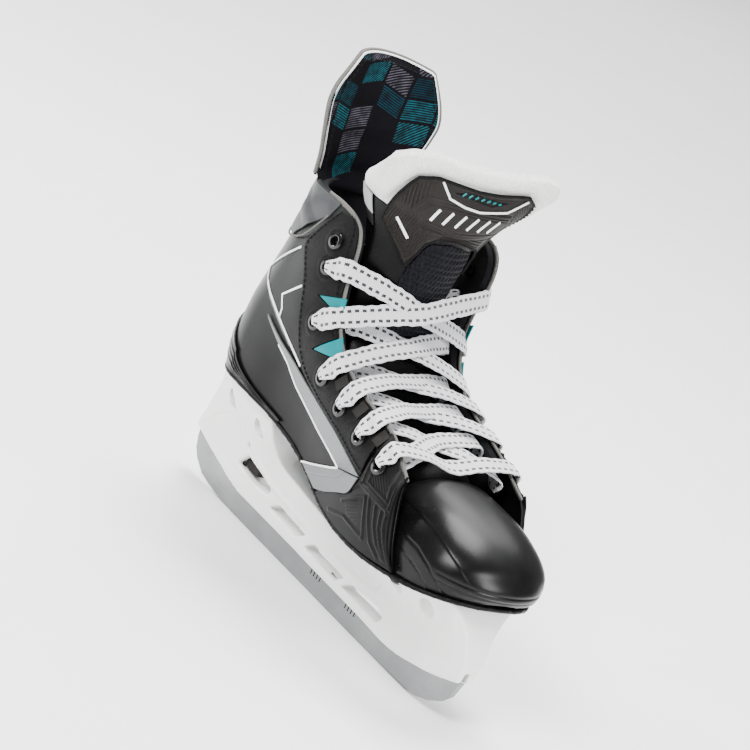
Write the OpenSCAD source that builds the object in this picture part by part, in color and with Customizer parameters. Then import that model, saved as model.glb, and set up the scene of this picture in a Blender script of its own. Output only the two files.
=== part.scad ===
// Ice hockey skate for the right foot: boot, blade holder and steel runner.
// +X points to the toe, +Y to the inner side of the foot and +Z up.
// The origin is on the ice, under the middle of the runner.

/* [Runner] */
// Thickness of the steel runner
runner_t = 3; // [2.8:0.1:3.2]
// Width of the slot that holds the runner
slot_w = 3.12; // [3.1:0.01:3.4]
// How far the steel reaches up into its slot
slot_depth = 3.6; // [3.2:0.1:4]

/* [Boot] */
// Thickness of the moulded quarters
quarter_t = 1.5; // [1.3:0.1:1.6]
// Thickness of the foam-backed lining
lining_t = 3.6; // [3:0.1:3.8]
// Thickness of the outsole plate
outsole_t = 2.5; // [2:0.1:2.7]
// Thickness of the raised trim pieces
trim_t = 1; // [0.8:0.1:1.1]

/* [Lacing] */
// Bore of an eyelet
eyelet_bore = 5; // [4.8:0.1:5.2]
// Width of the flat lace
lace_w = 8; // [7:0.5:8.5]
// Thickness of the flat lace
lace_t = 1.1; // [1:0.1:1.2]

/* [Trigger] */
// Diameter of the pin that the trigger turns on
pin_d = 3; // [2.6:0.1:3.2]
// Width of the trigger lever
trigger_w = 7; // [6:0.5:7.5]

/* [Hidden] */

gap = 0.25;               // clearance between stacked layers
fit = 0.05;               // radial clearance of running fits
round_fn = 36;            // segments of small round parts

// ---- Side-view lines: [x, z] ----
outsole_line = [[-130, 72], [-88, 72], [-60, 71.6], [-42, 70.2], [-20, 67], [-4, 63.2],
                [16, 57.4], [30, 54.8], [44, 53.8], [65, 54.6], [85, 57], [105, 60.2],
                [120, 63], [134, 66]];
slot_line = [[-134, 26], [-110, 19.7], [-94, 15.9], [-79, 13.4], [-60, 13.2],
             [57, 12], [67, 11.3], [83, 12.5], [106, 17.2], [129, 24.8]];
// Rear of the heel: [z, x]
heel_line = [[70, -120], [88, -123.5], [108, -124], [130, -121.5], [150, -117],
             [170, -113], [190, -110.5], [215, -113], [262, -117]];
// Radius of the heel's round back: [z, radius]
heel_round = [[70, 30], [110, 32], [150, 34], [190, 28]];

// ---- Half width of the boot over side-view stations ----
boot_x = [-110, -80, -50, -20, 10, 40, 70, 100];
boot_rows = [
    [55, [27, 28, 28, 29, 33, 37.5, 40, 38]],
    [75, [28, 30, 30, 31.5, 36, 41, 43, 41]],
    [95, [30, 33, 34, 36.5, 40, 42.5, 42, 38]],
    [105, [30, 34, 36, 39.5, 41.5, 41, 37.5, 34]],
    [115, [30, 34.5, 38, 41, 40, 36, 32, 30]],
    [125, [29.5, 35, 39.5, 41.5, 36.5, 32, 30, 30]],
    [135, [29, 35.5, 40.5, 40, 34, 31, 30, 30]],
    [155, [28, 35.5, 41, 37, 33, 30, 30, 30]],
    [175, [27, 35, 39.5, 34, 31, 30, 30, 30]],
    [195, [27, 34.5, 36.5, 30, 30, 30, 30, 30]]
];

// ---- Smooth interpolation ----
function cell(t, x, i = 0) = i >= len(t) - 2 || x < t[i + 1][0] ? i : cell(t, x, i + 1);
function curve(t, x) =
    x <= t[0][0] ? t[0][1] :
    x >= t[len(t) - 1][0] ? t[len(t) - 1][1] :
    let (i = cell(t, x), b = t[i], c = t[i + 1],
         a = t[max(i - 1, 0)], d = t[min(i + 2, len(t) - 1)],
         h = c[0] - b[0], u = (x - b[0]) / h,
         mb = (c[1] - a[1]) / (c[0] - a[0]) * h,
         mc = (d[1] - b[1]) / (d[0] - b[0]) * h)
    b[1] * (2 * u * u * u - 3 * u * u + 1) + mb * (u * u * u - 2 * u * u + u)
    + c[1] * (3 * u * u - 2 * u * u * u) + mc * (u * u * u - u * u);
function table(xs, rows, x, z) =
    curve([for (r = rows) [r[0], curve([for (i = [0 : len(xs) - 1]) [xs[i], r[1][i]]], x)]], z);
// Point on a line of evenly numbered points, s from 0 to 1
function along(line, s) =
    let (n = len(line) - 1, k = [for (i = [0 : n]) i / n])
    [curve([for (i = [0 : n]) [k[i], line[i][0]]], s),
     curve([for (i = [0 : n]) [k[i], line[i][1]]], s)];
function mix(a, b, t) = a * (1 - t) + b * t;
function unit(v) = v / norm(v);

// ---- The boot's side surface ----
function sole_z(x) = curve(outsole_line, x);
function heel_x(z) = curve(heel_line, z);
function boot_y(x, z) =
    let (r = curve(heel_round, z), d = x - heel_x(z),
         k = d >= r ? 1 : d <= 0 ? 0 : sqrt(1 - pow(1 - d / r, 2)))
    table(boot_x, boot_rows, x, z) * k;
function boot_normal(x, z) =
    let (e = 0.4)
    unit([(boot_y(x - e, z) - boot_y(x + e, z)) / (2 * e), 1,
          (boot_y(x, z - e) - boot_y(x, z + e)) / (2 * e)]);
// The inner side of the cuff stands wider, higher and further forward than the outer side
function ramp(a, b, v) = let (u = min(1, max(0, (v - a) / (b - a)))) u * u * (3 - 2 * u);
function spread(p, side) =
    side == "outer" ? [0, 0, 0] :
    [12, 0, 6] * ramp(135, 190, p[1]) * ramp(-95, -45, p[0])
    + [0, 11, 0] * ramp(100, 185, p[1]) * ramp(-100, -40, p[0]);
function on_boot(p, off, side = "outer") =
    let (y = boot_y(p[0], p[1]))
    [p[0], y, p[1]] + spread(p, side) + boot_normal(p[0], p[1]) * off;

// ---- Solids from grids of points ----
function grid_id(i, j, k, rows, cols) = (k * rows + i) * cols + j;
function sheet_faces(rows, cols) =
    let (
        skin = [for (i = [0 : rows - 2], j = [0 : cols - 2], k = [0, 1], h = [0, 1])
            let (a = grid_id(i, j, k, rows, cols), b = grid_id(i, j + 1, k, rows, cols),
                 c = grid_id(i + 1, j + 1, k, rows, cols), d = grid_id(i + 1, j, k, rows, cols),
                 f = h == 0 ? [a, b, c] : [a, c, d])
            k == 0 ? f : [f[2], f[1], f[0]]],
        ends = [for (i = [0 : rows - 2], side = [0, 1], h = [0, 1])
            let (j = side * (cols - 1),
                 a = grid_id(i, j, 0, rows, cols), b = grid_id(i + 1, j, 0, rows, cols),
                 c = grid_id(i + 1, j, 1, rows, cols), d = grid_id(i, j, 1, rows, cols),
                 f = h == 0 ? [a, b, c] : [a, c, d])
            side == 0 ? f : [f[2], f[1], f[0]]],
        caps = [for (j = [0 : cols - 2], side = [0, 1], h = [0, 1])
            let (i = side * (rows - 1),
                 a = grid_id(i, j, 0, rows, cols), b = grid_id(i, j + 1, 0, rows, cols),
                 c = grid_id(i, j + 1, 1, rows, cols), d = grid_id(i, j, 1, rows, cols),
                 f = h == 0 ? [c, b, a] : [d, c, a])
            side == 0 ? f : [f[2], f[1], f[0]]])
    concat(skin, ends, caps);
// A sheet between two grids; the first grid is the outer face
module sheet(outer, inner) {
    polyhedron(
        points = concat([for (r = outer) each r], [for (r = inner) each r]),
        faces = sheet_faces(len(outer), len(outer[0])), convexity = 8);
}
// A sheet that lies on the boot's inner side, between two offsets from its surface
module boot_sheet(plan, low, high, side = "outer") {
    sheet([for (r = plan) [for (p = r) on_boot(p, high, side)]],
          [for (r = plan) [for (p = r) on_boot(p, low, side)]]);
}
module on_side(side) {
    if (side == "inner") children();
    else mirror([0, 1, 0]) children();
}
// Grid between two side-view lines
function between(low, high, cols, rows, s0 = 0, s1 = 1, v0 = 0, v1 = 1) =
    [for (j = [0 : rows]) [for (i = [0 : cols])
        let (s = mix(s0, s1, i / cols)) mix(along(low, s), along(high, s), mix(v0, v1, j / rows))]];

// ---- Boot outlines in side view ----
shell_lift = outsole_t + 0.2;             // the quarters stand on the outsole
// Free edge from the collar's rear, round the cuff's corner and down the facing
facing_top = [[-72, 190.5], [-58, 191], [-46, 189.5], [-38, 185], [-33, 177], [-30, 167],
              [-27.5, 157], [-23, 147], [-16, 137], [-6, 128.5], [8, 122], [22, 118.5],
              [36, 116], [50, 112.5], [62, 107], [73.5, 101.5]];
facing_low = [for (x = [-90, -82, -74, -66, -58, -50, -41, -31, -20, -8, 5, 20, 38, 56, 73, 92])
    [x, sole_z(x) + shell_lift]];
facing_from = 0.19;                       // where the free edge of the facing starts
eyelet_at = [[-46, 174], [-42.5, 161], [-33, 134], [-10, 114], [12, 108], [34, 103.5], [56, 99]];

// Whole side of the boot: heel columns at equal turns round the heel, then the side
function boot_plan(heel_cols, side_cols, rows, front = 1, drop = 0, foot = 0) =
    [for (j = [0 : rows])
        let (v = j / rows)
        concat(
            [for (i = [0 : heel_cols - 1])
                let (a = mix(4, 90, i / heel_cols),
                     z = mix(facing_low[0][1] + foot, facing_top[0][1] - drop, v),
                     r = mix(facing_low[0][0], facing_top[0][0], v) - heel_x(z))
                [heel_x(z) + r * (1 - cos(a)), z]],
            [for (i = [0 : side_cols])
                let (s = front * i / side_cols, lo = along(facing_low, s) + [0, foot],
                     hi = along(facing_top, s), n = facing_out(s))
                mix(lo, hi - n * drop, v)])];
// Direction away from the boot across its free edge
function facing_out(s) =
    let (t = unit(along(facing_top, s + 0.02) - along(facing_top, s - 0.02)))
    s < facing_from ? [0, 1] : [-t[1], t[0]];

// ---- Eyelets ----
eyelet_barrel = 0.5;                      // wall of an eyelet's barrel
eyelet_hole = eyelet_bore / 2 + eyelet_barrel + 0.1;
module at_eyelet(k, side) {
    p = on_boot(eyelet_at[k], 0, side);
    n = boot_normal(eyelet_at[k][0], eyelet_at[k][1]);
    translate(p) rotate([0, acos(n[2]), atan2(n[1], n[0])]) children();
}
module eyelet_holes(side) {
    for (k = [0 : len(eyelet_at) - 1])
        at_eyelet(k, side) cylinder(h = 20, r = eyelet_hole, center = true, $fn = round_fn);
}

// ---- Runner and its holder ----
flat_half = 40;                           // the ground flat in mid-runner
runner_foot = [[-126, 8.5], [-117, 3.9], [-108, 2.2], [-100, 1.3], [-80, 0.5], [-60, 0.15],
               [-flat_half, 0], [flat_half, 0], [60, 0.12], [80, 0.3], [95, 0.8],
               [104, 2], [113, 5], [120, 9.2], [125.5, 15]];
hook_x = 112;                             // the runner swings on its front hook
hook_z = 24;
hook_r = 3;
post_x = -98;                             // rear post that the trigger holds
post_top = 44;
post_w = 10;
post_swing = 1.5;                         // room behind the post for the runner's drop
function slot_z(x) = curve(slot_line, x);
module runner_outline() {
    top = [for (x = [104 : -6 : -124]) [x, slot_z(x) + slot_depth]];
    polygon(concat(runner_foot, [[128.4, 24.5]], [[122, 22.5]], top,
                   [[-134, 25.4], [-133, 19], [-130.5, 13]]));
}
module post_outline() {
    difference() {
        translate([post_x, 18]) square([post_w, post_top - 18]);
        polygon([[post_x + 8.2, 33], [post_x + 8.2, 35], [post_x + 10.1, 42], [post_x + 10.1, 32.4]]);
    }
}
module plate(w) {
    translate([0, w / 2, 0]) rotate([90, 0, 0]) linear_extrude(w, convexity = 10) children();
}
module runner() {
    color("lightsteelblue") plate(runner_t) {
        runner_outline();
        post_outline();
        translate([hook_x, hook_z]) circle(r = hook_r, $fn = round_fn);
        translate([hook_x - 2, 18]) square([4, 6]);
    }
}

// Holder: matched points of its upper and lower edges in side view
holder_top = [[-111, 71.7], [-104, 71.8], [-95, 71.8], [-84, 71.8], [-72, 71.6], [-60, 71.4],
              [-54, 70.8], [-51.5, 65], [-50, 57.5], [-48, 50.4], [-43, 46.8], [-32, 44.4],
              [-20, 42.6], [-6, 41], [8, 39.8], [20, 39.2], [30, 39.4], [38, 41], [43, 44.5],
              [46, 49.5], [51, 53.2], [60, 54], [72, 55], [86, 56.8], [98, 58.8],
              [109, 60.7], [119, 62.6]];
holder_low = [[-134, 26], [-125, 23.4], [-114, 20.6], [-102, 17.8], [-90, 15.1], [-80, 13.5],
              [-74, 13.3], [-69, 13.3], [-64, 13.3], [-58, 13.2], [-50, 13.1], [-38, 12.9],
              [-24, 12.8], [-8, 12.7], [6, 12.5], [18, 12.4], [28, 12.3], [38, 12.2],
              [46, 12.1], [53, 12], [60, 11.8], [67, 11.4], [75, 11.6], [86, 13], [98, 15.6],
              [112, 19], [129, 24.8]];
holder_x = [-130, -110, -90, -65, -48, -20, 10, 35, 55, 80, 105, 125];
holder_rows = [
    [12, [5.2, 5.2, 5.2, 5.2, 5.2, 5.2, 5.2, 5.2, 5.2, 5.2, 5.2, 5]],
    [20, [5.4, 5.5, 5.6, 5.6, 5.6, 5.5, 5.5, 5.8, 6.4, 6.8, 6.4, 5]],
    [30, [6, 6.6, 7.2, 7.2, 7, 6.2, 6, 6.8, 8.6, 9.6, 8.6, 5.6]],
    [40, [7.4, 9, 10, 10.4, 10, 8.6, 8, 9.6, 14, 16, 13, 7]],
    [50, [9.4, 12, 14, 15.4, 15, 12, 12, 16, 25, 27, 20.5, 9.5]],
    [60, [11, 16, 20, 22.6, 22, 18, 18, 22, 31, 34.5, 29, 14]],
    [72, [14, 21.5, 25.5, 26.5, 25.6, 22, 22, 26, 32, 37, 34, 17]]
];
window_trigger = [[-86, 27.4], [-78, 35.8], [-52, 30], [-54, 25], [-70, 24.2]];
window_rear = [[-50, 20.4], [-41.5, 25.8], [-13, 24.6], [-21, 19]];
window_mid = [[-12.5, 18], [-4.5, 23.8], [27, 22.4], [19.5, 17]];
window_front = [[25, 17], [34, 22.6], [60, 25.2], [66, 22.4], [61, 17]];
rivets_at_rear = [[-100, 14.5], [-66, 18.5]];
rivets_at_front = [[62, 26], [85, 28], [105, 21]];
rivet_r = 2.2;
rivet_head_r = 4;
flange_t = 3;
pin_x = -79;
pin_z = 41.5;
cavity_w = trigger_w + 0.8;

function holder_y(x, z) = table(holder_x, holder_rows, x, z);
function holder_grid(side, cols, rows) =
    [for (j = [0 : rows]) [for (i = [0 : cols])
        let (s = i / cols, v = j / rows, front = max(0, (s - 0.86) / 0.14), back = max(0, 1 - s / 0.06),
             p = mix(along(holder_low, s), along(holder_top, s), v)
                 + [4 * front * front * v * (1 - v) * 4 - 2 * back * v * (1 - v) * 4, 0])
        [p[0], side * holder_y(p[0], p[1]), p[1]]]];
module both_sides() {
    children();
    mirror([0, 1, 0]) children();
}
module at_rivets(list, z = 0) {
    both_sides() for (p = list) translate([p[0], p[1], sole_z(p[0]) + z]) children();
}
module trigger_cavity() {
    plate(cavity_w) polygon([[-100.5, 28.5], [-100.5, 45.5], [-86, 48], [-65, 48], [-64, 36], [-64, 28], [-86, 26]]);
}
module blade_holder() {
    color("whitesmoke") difference() {
        sheet(holder_grid(1, 78, 9), holder_grid(-1, 78, 9));
        for (w = [window_trigger, window_rear, window_mid, window_front]) plate(80) polygon(w);
        plate(slot_w) polygon(concat(
            [[140, 10], [140, 30], [120, 31]],
            [for (x = [118 : -6 : -130]) [x, slot_z(x) + slot_depth + (x > 100 ? 3.4 : 0.4)]],
            [[-140, 32], [-140, 5]]));
        plate(slot_w) translate([post_x - post_swing, 15])
            square([post_w + post_swing + 1.8, post_top - 13]);
        plate(slot_w) translate([hook_x, hook_z]) circle(r = hook_r + fit, $fn = round_fn);
        plate(slot_w) translate([hook_x - 4.5, 14]) square([9, 8.5]);
        trigger_cavity();
        translate([pin_x, 0, pin_z]) rotate([90, 0, 0])
            cylinder(h = 80, d = pin_d, center = true, $fn = round_fn);
        at_rivets(concat(rivets_at_rear, rivets_at_front), -20)
            cylinder(h = 40, r = rivet_r, $fn = round_fn);
        at_rivets(concat(rivets_at_rear, rivets_at_front), -16 - flange_t)
            cylinder(h = 16, r = rivet_head_r + 0.4, $fn = round_fn);
    }
}
module rivet(p) {
    translate([p[0], p[1], sole_z(p[0]) - flange_t]) rotate_extrude($fn = round_fn)
        polygon([[0, -1.6], [2.6, -1.2], [rivet_head_r - 0.2, -0.1], [rivet_head_r - 0.2, 0],
                 [rivet_r, 0], [rivet_r, flange_t + outsole_t + 1.7], [0, flange_t + outsole_t + 1.7]]);
}
module rivets_front() {
    color("silver") both_sides() for (p = rivets_at_front) rivet(p);
}
module rivets_rear() {
    color("silver") both_sides() for (p = rivets_at_rear) rivet(p);
}
module rivet_washers() {
    color("darkgray") at_rivets(concat(rivets_at_rear, rivets_at_front), outsole_t + 0.95)
        difference() {
            cylinder(h = 0.6, r = 4.6, $fn = round_fn);
            translate([0, 0, -1]) cylinder(h = 3, r = rivet_r, $fn = round_fn);
        }
}

// ---- Trigger ----
module trigger() {
    color("dimgray") difference() {
        plate(trigger_w) union() {
            translate([pin_x, pin_z]) circle(r = 4, $fn = round_fn);
            polygon([[pin_x - 3.5, pin_z + 1.5], [post_x + 8.8, 34.8], [post_x + 8.6, 33.8], [post_x + 10.6, 32.9],
                     [pin_x - 3, pin_z - 6], [pin_x - 4.5, 31], [pin_x - 4.2, 28.6],
                     [pin_x - 1, 27.3], [pin_x + 7.5, 26.8], [pin_x + 8.8, 28.6], [pin_x + 8, 31.8],
                     [pin_x + 3.6, 36]]);
        }
        translate([pin_x, 0, pin_z]) rotate([90, 0, 0])
            cylinder(h = 40, d = pin_d + 2 * fit, center = true, $fn = round_fn);
        translate([pin_x, 0, pin_z]) plate_ring(4.8);
    }
}
// Room for the spring round the pin, in the middle of the lever's hub
module plate_ring(w) {
    rotate([90, 0, 0]) cylinder(h = w - 2, r = 3.4, center = true, $fn = round_fn);
}
module trigger_pin() {
    color("silver") translate([pin_x, 0, pin_z]) rotate([90, 0, 0])
        cylinder(h = 18, d = pin_d, center = true, $fn = round_fn);
}
spring_r = 2.5;
spring_wire = 0.3;
spring_pitch = 0.7;
module tube(rings) {
    n = len(rings);
    m = len(rings[0]);
    polyhedron(
        points = [for (r = rings) each r],
        faces = concat(
            [[for (k = [0 : m - 1]) k]],
            [[for (k = [m - 1 : -1 : 0]) (n - 1) * m + k]],
            [for (i = [0 : n - 2], k = [0 : m - 1], h = [0, 1])
                let (a = i * m + k, b = i * m + (k + 1) % m, c = a + m, d = b + m)
                h == 0 ? [a, c, b] : [b, c, d]]),
        convexity = 10);
}
// Closed coils of the trigger's spring, side by side round the pin
module trigger_spring() {
    color("gray") for (i = [-1 : 1])
        translate([pin_x, i * spring_pitch, pin_z]) rotate([90, 0, 0])
            rotate_extrude($fn = round_fn) translate([spring_r, 0]) circle(r = spring_wire, $fn = 16);
}

// ---- Sole plates ----
function sole_half(x, inset) = boot_y(x, sole_z(x) + 4) - inset;
toe_tip = 128.8;
function sole_outline(inset) =
    let (
        heel = [for (a = [0 : 9 : 90])
            let (x = heel_x(75) + inset + (31 - inset) * (1 - cos(a)))
            [x, (boot_y(-90, 76) - inset) * sin(a)]],
        side = [for (x = [-82 : 8 : 84]) [x, sole_half(x, inset)]],
        toe = [for (a = [0 : 7.5 : 90])
            [90 + (toe_tip - inset - 90) * sin(a), (sole_half(88, inset)) * pow(cos(a), 0.86)]],
        half = concat(heel, side, toe))
    concat([for (i = [0 : len(half) - 1]) half[i]],
           [for (i = [len(half) - 2 : -1 : 1]) [half[i][0], -half[i][1]]]);
module sole_band(low, high) {
    xs = [for (x = [-140 : 5 : 140]) x];
    translate([0, 60, 0]) rotate([90, 0, 0]) linear_extrude(120, convexity = 6)
        polygon(concat([for (x = xs) [x, sole_z(x) + low]],
                       [for (i = [len(xs) - 1 : -1 : 0]) [xs[i], sole_z(xs[i]) + high]]));
}
module sole_plate(inset, low, high) {
    intersection() {
        sole_band(low, high);
        translate([0, 0, 40]) linear_extrude(60) polygon(sole_outline(inset));
    }
}
module outsole() {
    color([0.12, 0.12, 0.13]) difference() {
        sole_plate(-0.6, 0.1, outsole_t);
        at_rivets(concat(rivets_at_rear, rivets_at_front), -5)
            cylinder(h = 20, r = rivet_r, $fn = round_fn);
    }
}
module insole_board() {
    color("saddlebrown") difference() {
        sole_plate(9, outsole_t + 0.15, outsole_t + 1.9);
        at_rivets(concat(rivets_at_rear, rivets_at_front), -5)
            cylinder(h = 20, r = 4.9, $fn = round_fn);
    }
}
module footbed() {
    color([0.15, 0.35, 0.38]) sole_plate(9.5, outsole_t + 2.7, outsole_t + 5.8);
}

// ---- Boot shell ----
module quarter(side) {
    on_side(side) difference() {
        boot_sheet(boot_plan(9, 24, 12), -quarter_t, 0, side);
        eyelet_holes(side);
    }
}
module quarter_outer() { color([0.2, 0.21, 0.21]) quarter("outer"); }
module quarter_inner() { color([0.2, 0.21, 0.21]) quarter("inner"); }
module lining(side) {
    on_side(side) difference() {
        boot_sheet(boot_plan(7, 20, 9, 0.87, 0.6, 0.3), -quarter_t - gap - lining_t, -quarter_t - gap, side);
        eyelet_holes(side);
    }
}
module lining_outer() { color([0.06, 0.06, 0.07]) lining("outer"); }
module lining_inner() { color([0.06, 0.06, 0.07]) lining("inner"); }

trim_low = gap + 0.2;
trim_high = trim_low + trim_t;
// Black counter that cups the heel
counter_edge = [[-124, 108], [-113, 99], [-97, 90], [-76, 83], [-52, 77.4], [-40, 74.8]];
module counter_half() {
    low = [[-121, 75.2], [-112, 75.2], [-98, 75.2], [-78, 75.2], [-54, 74.6], [-41, 73.4]];
    boot_sheet([for (j = [0 : 5]) [for (i = [0 : 30])
        let (s = i / 30, z = mix(along(low, s)[1], along(counter_edge, s)[1], j / 5),
             x0 = mix(along(low, s)[0], along(counter_edge, s)[0], j / 5), x1 = heel_x(z),
             x = max(x0, x1 + 0.25))
        [x, z]]], trim_low, trim_high);
}
module heel_counter() {
    color([0.05, 0.05, 0.055]) for (m = [0, 1]) mirror([0, m, 0]) counter_half();
}
// Grey moulded piece under the collar
module collar(side) {
    low = [[-104, 158], [-96, 157], [-88, 158.5], [-80, 161.5], [-74, 165.5], [-67.5, 172.5], [-61, 181.5]];
    high = [[-103, 189.6], [-96, 189.7], [-88, 189.8], [-80, 190], [-72, 190], [-65, 190.2], [-57.5, 190.2]];
    on_side(side) boot_sheet(between(low, high, 12, 5), trim_low, trim_high, side);
}
module collar_outer() { color([0.42, 0.43, 0.45]) collar("outer"); }
module collar_inner() { color([0.42, 0.43, 0.45]) collar("inner"); }

// Eyestay: the grained strip that carries the eyelets
eyestay_rear = [[-54, 187], [-59, 180], [-66, 170], [-70.5, 162], [-66, 156.5], [-59.5, 150.5],
                [-54.5, 143], [-49.5, 132.5], [-44, 123], [-37, 114.5], [-27, 108.2], [-14, 104],
                [2, 100.2], [18, 96.6], [33, 92.6], [47, 89.2]];
eyestay_front = [for (i = [0 : 15]) along(facing_top, mix(0.15, 0.843, i / 15))];
notch_up = [[-41, 146], [-22, 153.5], [-18.5, 143]];
notch_down = [[-27, 121.5], [-12, 137], [-4, 126]];
function side_shape(points, side) =
    [for (p = points) let (d = spread(p, side)) [p[0] + d[0], p[1] + d[2]]];
module notch(points) {
    translate([0, 30, 0]) plate(80) polygon(points);
}
module eyestay(side) {
    on_side(side) difference() {
        boot_sheet(between(eyestay_rear, eyestay_front, 22, 6, 0, 1, 0, 0.985), trim_low, trim_high, side);
        eyelet_holes(side);
        for (n = [notch_up, notch_down]) notch(side_shape(n, side));
    }
}
module eyestay_outer() { color([0.09, 0.09, 0.1]) eyestay("outer"); }
module eyestay_inner() { color([0.09, 0.09, 0.1]) eyestay("inner"); }
// Teal wedges that show in the eyestay's two notches
wedge_up = [[-38.4, 146.3], [-27, 150.9], [-23.6, 145.2]];
wedge_down = [[-24.7, 122.7], [-15.6, 132], [-8.4, 126.8]];
module notch_inserts(side) {
    on_side(side) for (t = [wedge_up, wedge_down]) {
        boot_sheet([for (j = [0 : 3]) [for (i = [0 : 4])
            mix(mix(t[0], t[1], mix(0.06, 1, i / 4)), mix(t[0], t[2], mix(0.06, 1, i / 4)), j / 3)]],
            trim_low, trim_low + 0.5, side);
    }
}
module notch_inserts_outer() { color([0, 0.68, 0.72]) notch_inserts("outer"); }
module notch_inserts_inner() { color([0, 0.68, 0.72]) notch_inserts("inner"); }

// Silver strip: down behind the eyestay to the ball of the foot and back along the sole
accent_down_top = [[-78, 117], [-58, 111.5], [-42, 108.5], [-30, 106], [-16, 103], [2, 99.1],
                   [18, 95.5], [33, 91.5], [46, 88]];
accent_down_low = [[-76, 115.6], [-58, 109], [-44, 104.5], [-32, 98.5], [-18, 94], [-2, 89.4],
                   [12, 86.4], [22, 84.2], [27, 83.2]];
accent_back_top = [[-9, 67.4], [2, 71.6], [13, 76.2], [21, 79.6], [27.2, 82.6]];
accent_back_low = [[10.5, 62.4], [21, 66.2], [33, 72.2], [42.5, 77.4], [46.2, 87.2]];
module accent(side) {
    on_side(side) {
        boot_sheet(between(accent_down_low, accent_down_top, 16, 1), trim_low, trim_high, side);
        boot_sheet(between(accent_back_low, accent_back_top, 10, 3), trim_low, trim_high, side);
    }
}
module accent_outer() { color([0.72, 0.74, 0.75]) accent("outer"); }
module accent_inner() { color([0.72, 0.74, 0.75]) accent("inner"); }

// Ribbed black guard between the strip and the toe cap
module forefoot_guard(side) {
    low = [[13, 61.6], [24, 59.2], [36, 57.6], [46, 57.2], [54, 57.4], [62, 58], [74, 59.2], [90.5, 61.6]];
    high = [[15, 62.9], [28, 68.9], [43.4, 76.8], [47.6, 84], [48.6, 97], [46.8, 113.2], [58, 108.4], [72, 101.9]];
    on_side(side) difference() {
        boot_sheet(between(low, high, 26, 8), trim_low, trim_high, side);
        eyelet_holes(side);
    }
}
module forefoot_guard_outer() { color([0.07, 0.07, 0.075]) forefoot_guard("outer"); }
module forefoot_guard_inner() { color([0.07, 0.07, 0.075]) forefoot_guard("inner"); }

// ---- Toe cap ----
// Arches from the rear edge to the tip: [edge x, half width, crown x, crown z, box shape]
toe_arches = [[62, 37.4, 64, 101.8, 2.8], [74, 37.9, 79, 101.4, 2.8], [86, 38.2, 94, 99.8, 2.8],
              [96, 37.7, 107, 96.8, 2.7], [104, 36.6, 117.5, 92.8, 2.6], [111, 33.6, 125.5, 88, 2.5],
              [116, 29.4, 129.5, 82.8, 2.4], [121, 24, 132.4, 77.8, 2.25],
              [124.5, 17.6, 133, 73.6, 2.1], [126.8, 10.2, 131.4, 70.4, 2]];
function toe_arch(a, n) =
    let (z0 = sole_z(a[0]) + outsole_t + 0.2)
    [for (i = [0 : n])
        let (t = mix(180, 0, i / n), c = cos(t), s = sin(t), e = 2 / a[4],
             hy = sign(c) * pow(abs(c), e), hz = pow(s, e))
        [mix(a[0], a[2], hz), -a[1] * hy * (1 + 0.08 * sin(2 * min(t, 180 - t))), mix(z0, a[3], hz)]];
function toe_tip_row(a, n) =
    [for (i = [0 : n])
        let (k = mix(-1, 1, i / n), z0 = sole_z(a[0]) + outsole_t + 0.25)
        [a[0] + 2 * (1 - k * k), a[1] * 0.98 * k, z0 + 0.05 + 0.5 * (1 - k * k)]];
function toe_rows(n) =
    concat([for (a = toe_arches) toe_arch(a, n)], [toe_tip_row(toe_arches[len(toe_arches) - 1], n)]);
function grid_normal(g, i, j) =
    let (a = g[min(i + 1, len(g) - 1)][j] - g[max(i - 1, 0)][j],
         b = g[i][min(j + 1, len(g[0]) - 1)] - g[i][max(j - 1, 0)])
    unit(cross(a, b));
function grid_offset(g, d) =
    [for (i = [0 : len(g) - 1]) [for (j = [0 : len(g[0]) - 1]) g[i][j] - grid_normal(g, i, j) * d]];
module toe_cap() {
    g = toe_rows(24);
    color([0.03, 0.03, 0.033]) sheet(g, grid_offset(g, -2));
}
module toe_lining() {
    g = [for (i = [1 : 8]) toe_rows(20)[i]];
    color([0.1, 0.1, 0.11]) sheet(grid_offset(g, -2.5), grid_offset(g, -4.5));
}

// ---- Tendon guard ----
// [height, half width, rear x, side x]
guard_rows = [[191, 31, -112.5, -97], [203, 31.6, -114, -99], [214, 33.6, -115.5, -101], [224, 36.4, -116.5, -101.5],
              [232, 37.8, -117, -102], [240, 36, -117.5, -103.5], [250, 31.2, -118, -105.5], [260, 25.6, -118.5, -108.5]];
function guard_grid(inset, cols) =
    [for (r = guard_rows) [for (i = [0 : cols])
        let (k = mix(-1, 1, i / cols))
        [mix(r[2], r[3], pow(abs(k), 2.2)) + inset, (r[1] - inset * 0.3) * k,
         r[0] - 1.8 * k * k * ramp(235, 260, r[0])]]];
module tendon_guard() {
    color([0.3, 0.3, 0.31]) sheet(guard_grid(1.6, 16), guard_grid(0, 16));
}
module tendon_guard_lining() {
    color([0.03, 0.12, 0.14]) sheet(guard_grid(5, 16), guard_grid(1.9, 16));
}

// ---- Tongue ----
// Front face at mid-width: [x, z, half width, how far the sides fall back]
tongue_low_rows = [[66, 93, 24, 9], [54, 100, 27, 10], [40, 105, 29, 12], [26, 109.5, 30, 13],
                   [12, 115, 30, 14], [-1, 123, 30, 17], [-10.5, 134, 30, 20.5], [-16, 146, 30, 23],
                   [-17.5, 156, 30, 23]];
tongue_up_rows = [[-17.5, 157, 30, 23], [-16.5, 170, 29.8, 23.5], [-14, 184, 30, 24.5], [-12, 197, 35, 29],
                  [-10.5, 210, 41.5, 27], [-10, 222, 46.5, 19], [-11.5, 233, 50, 10], [-15, 241.5, 52, 5]];
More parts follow.
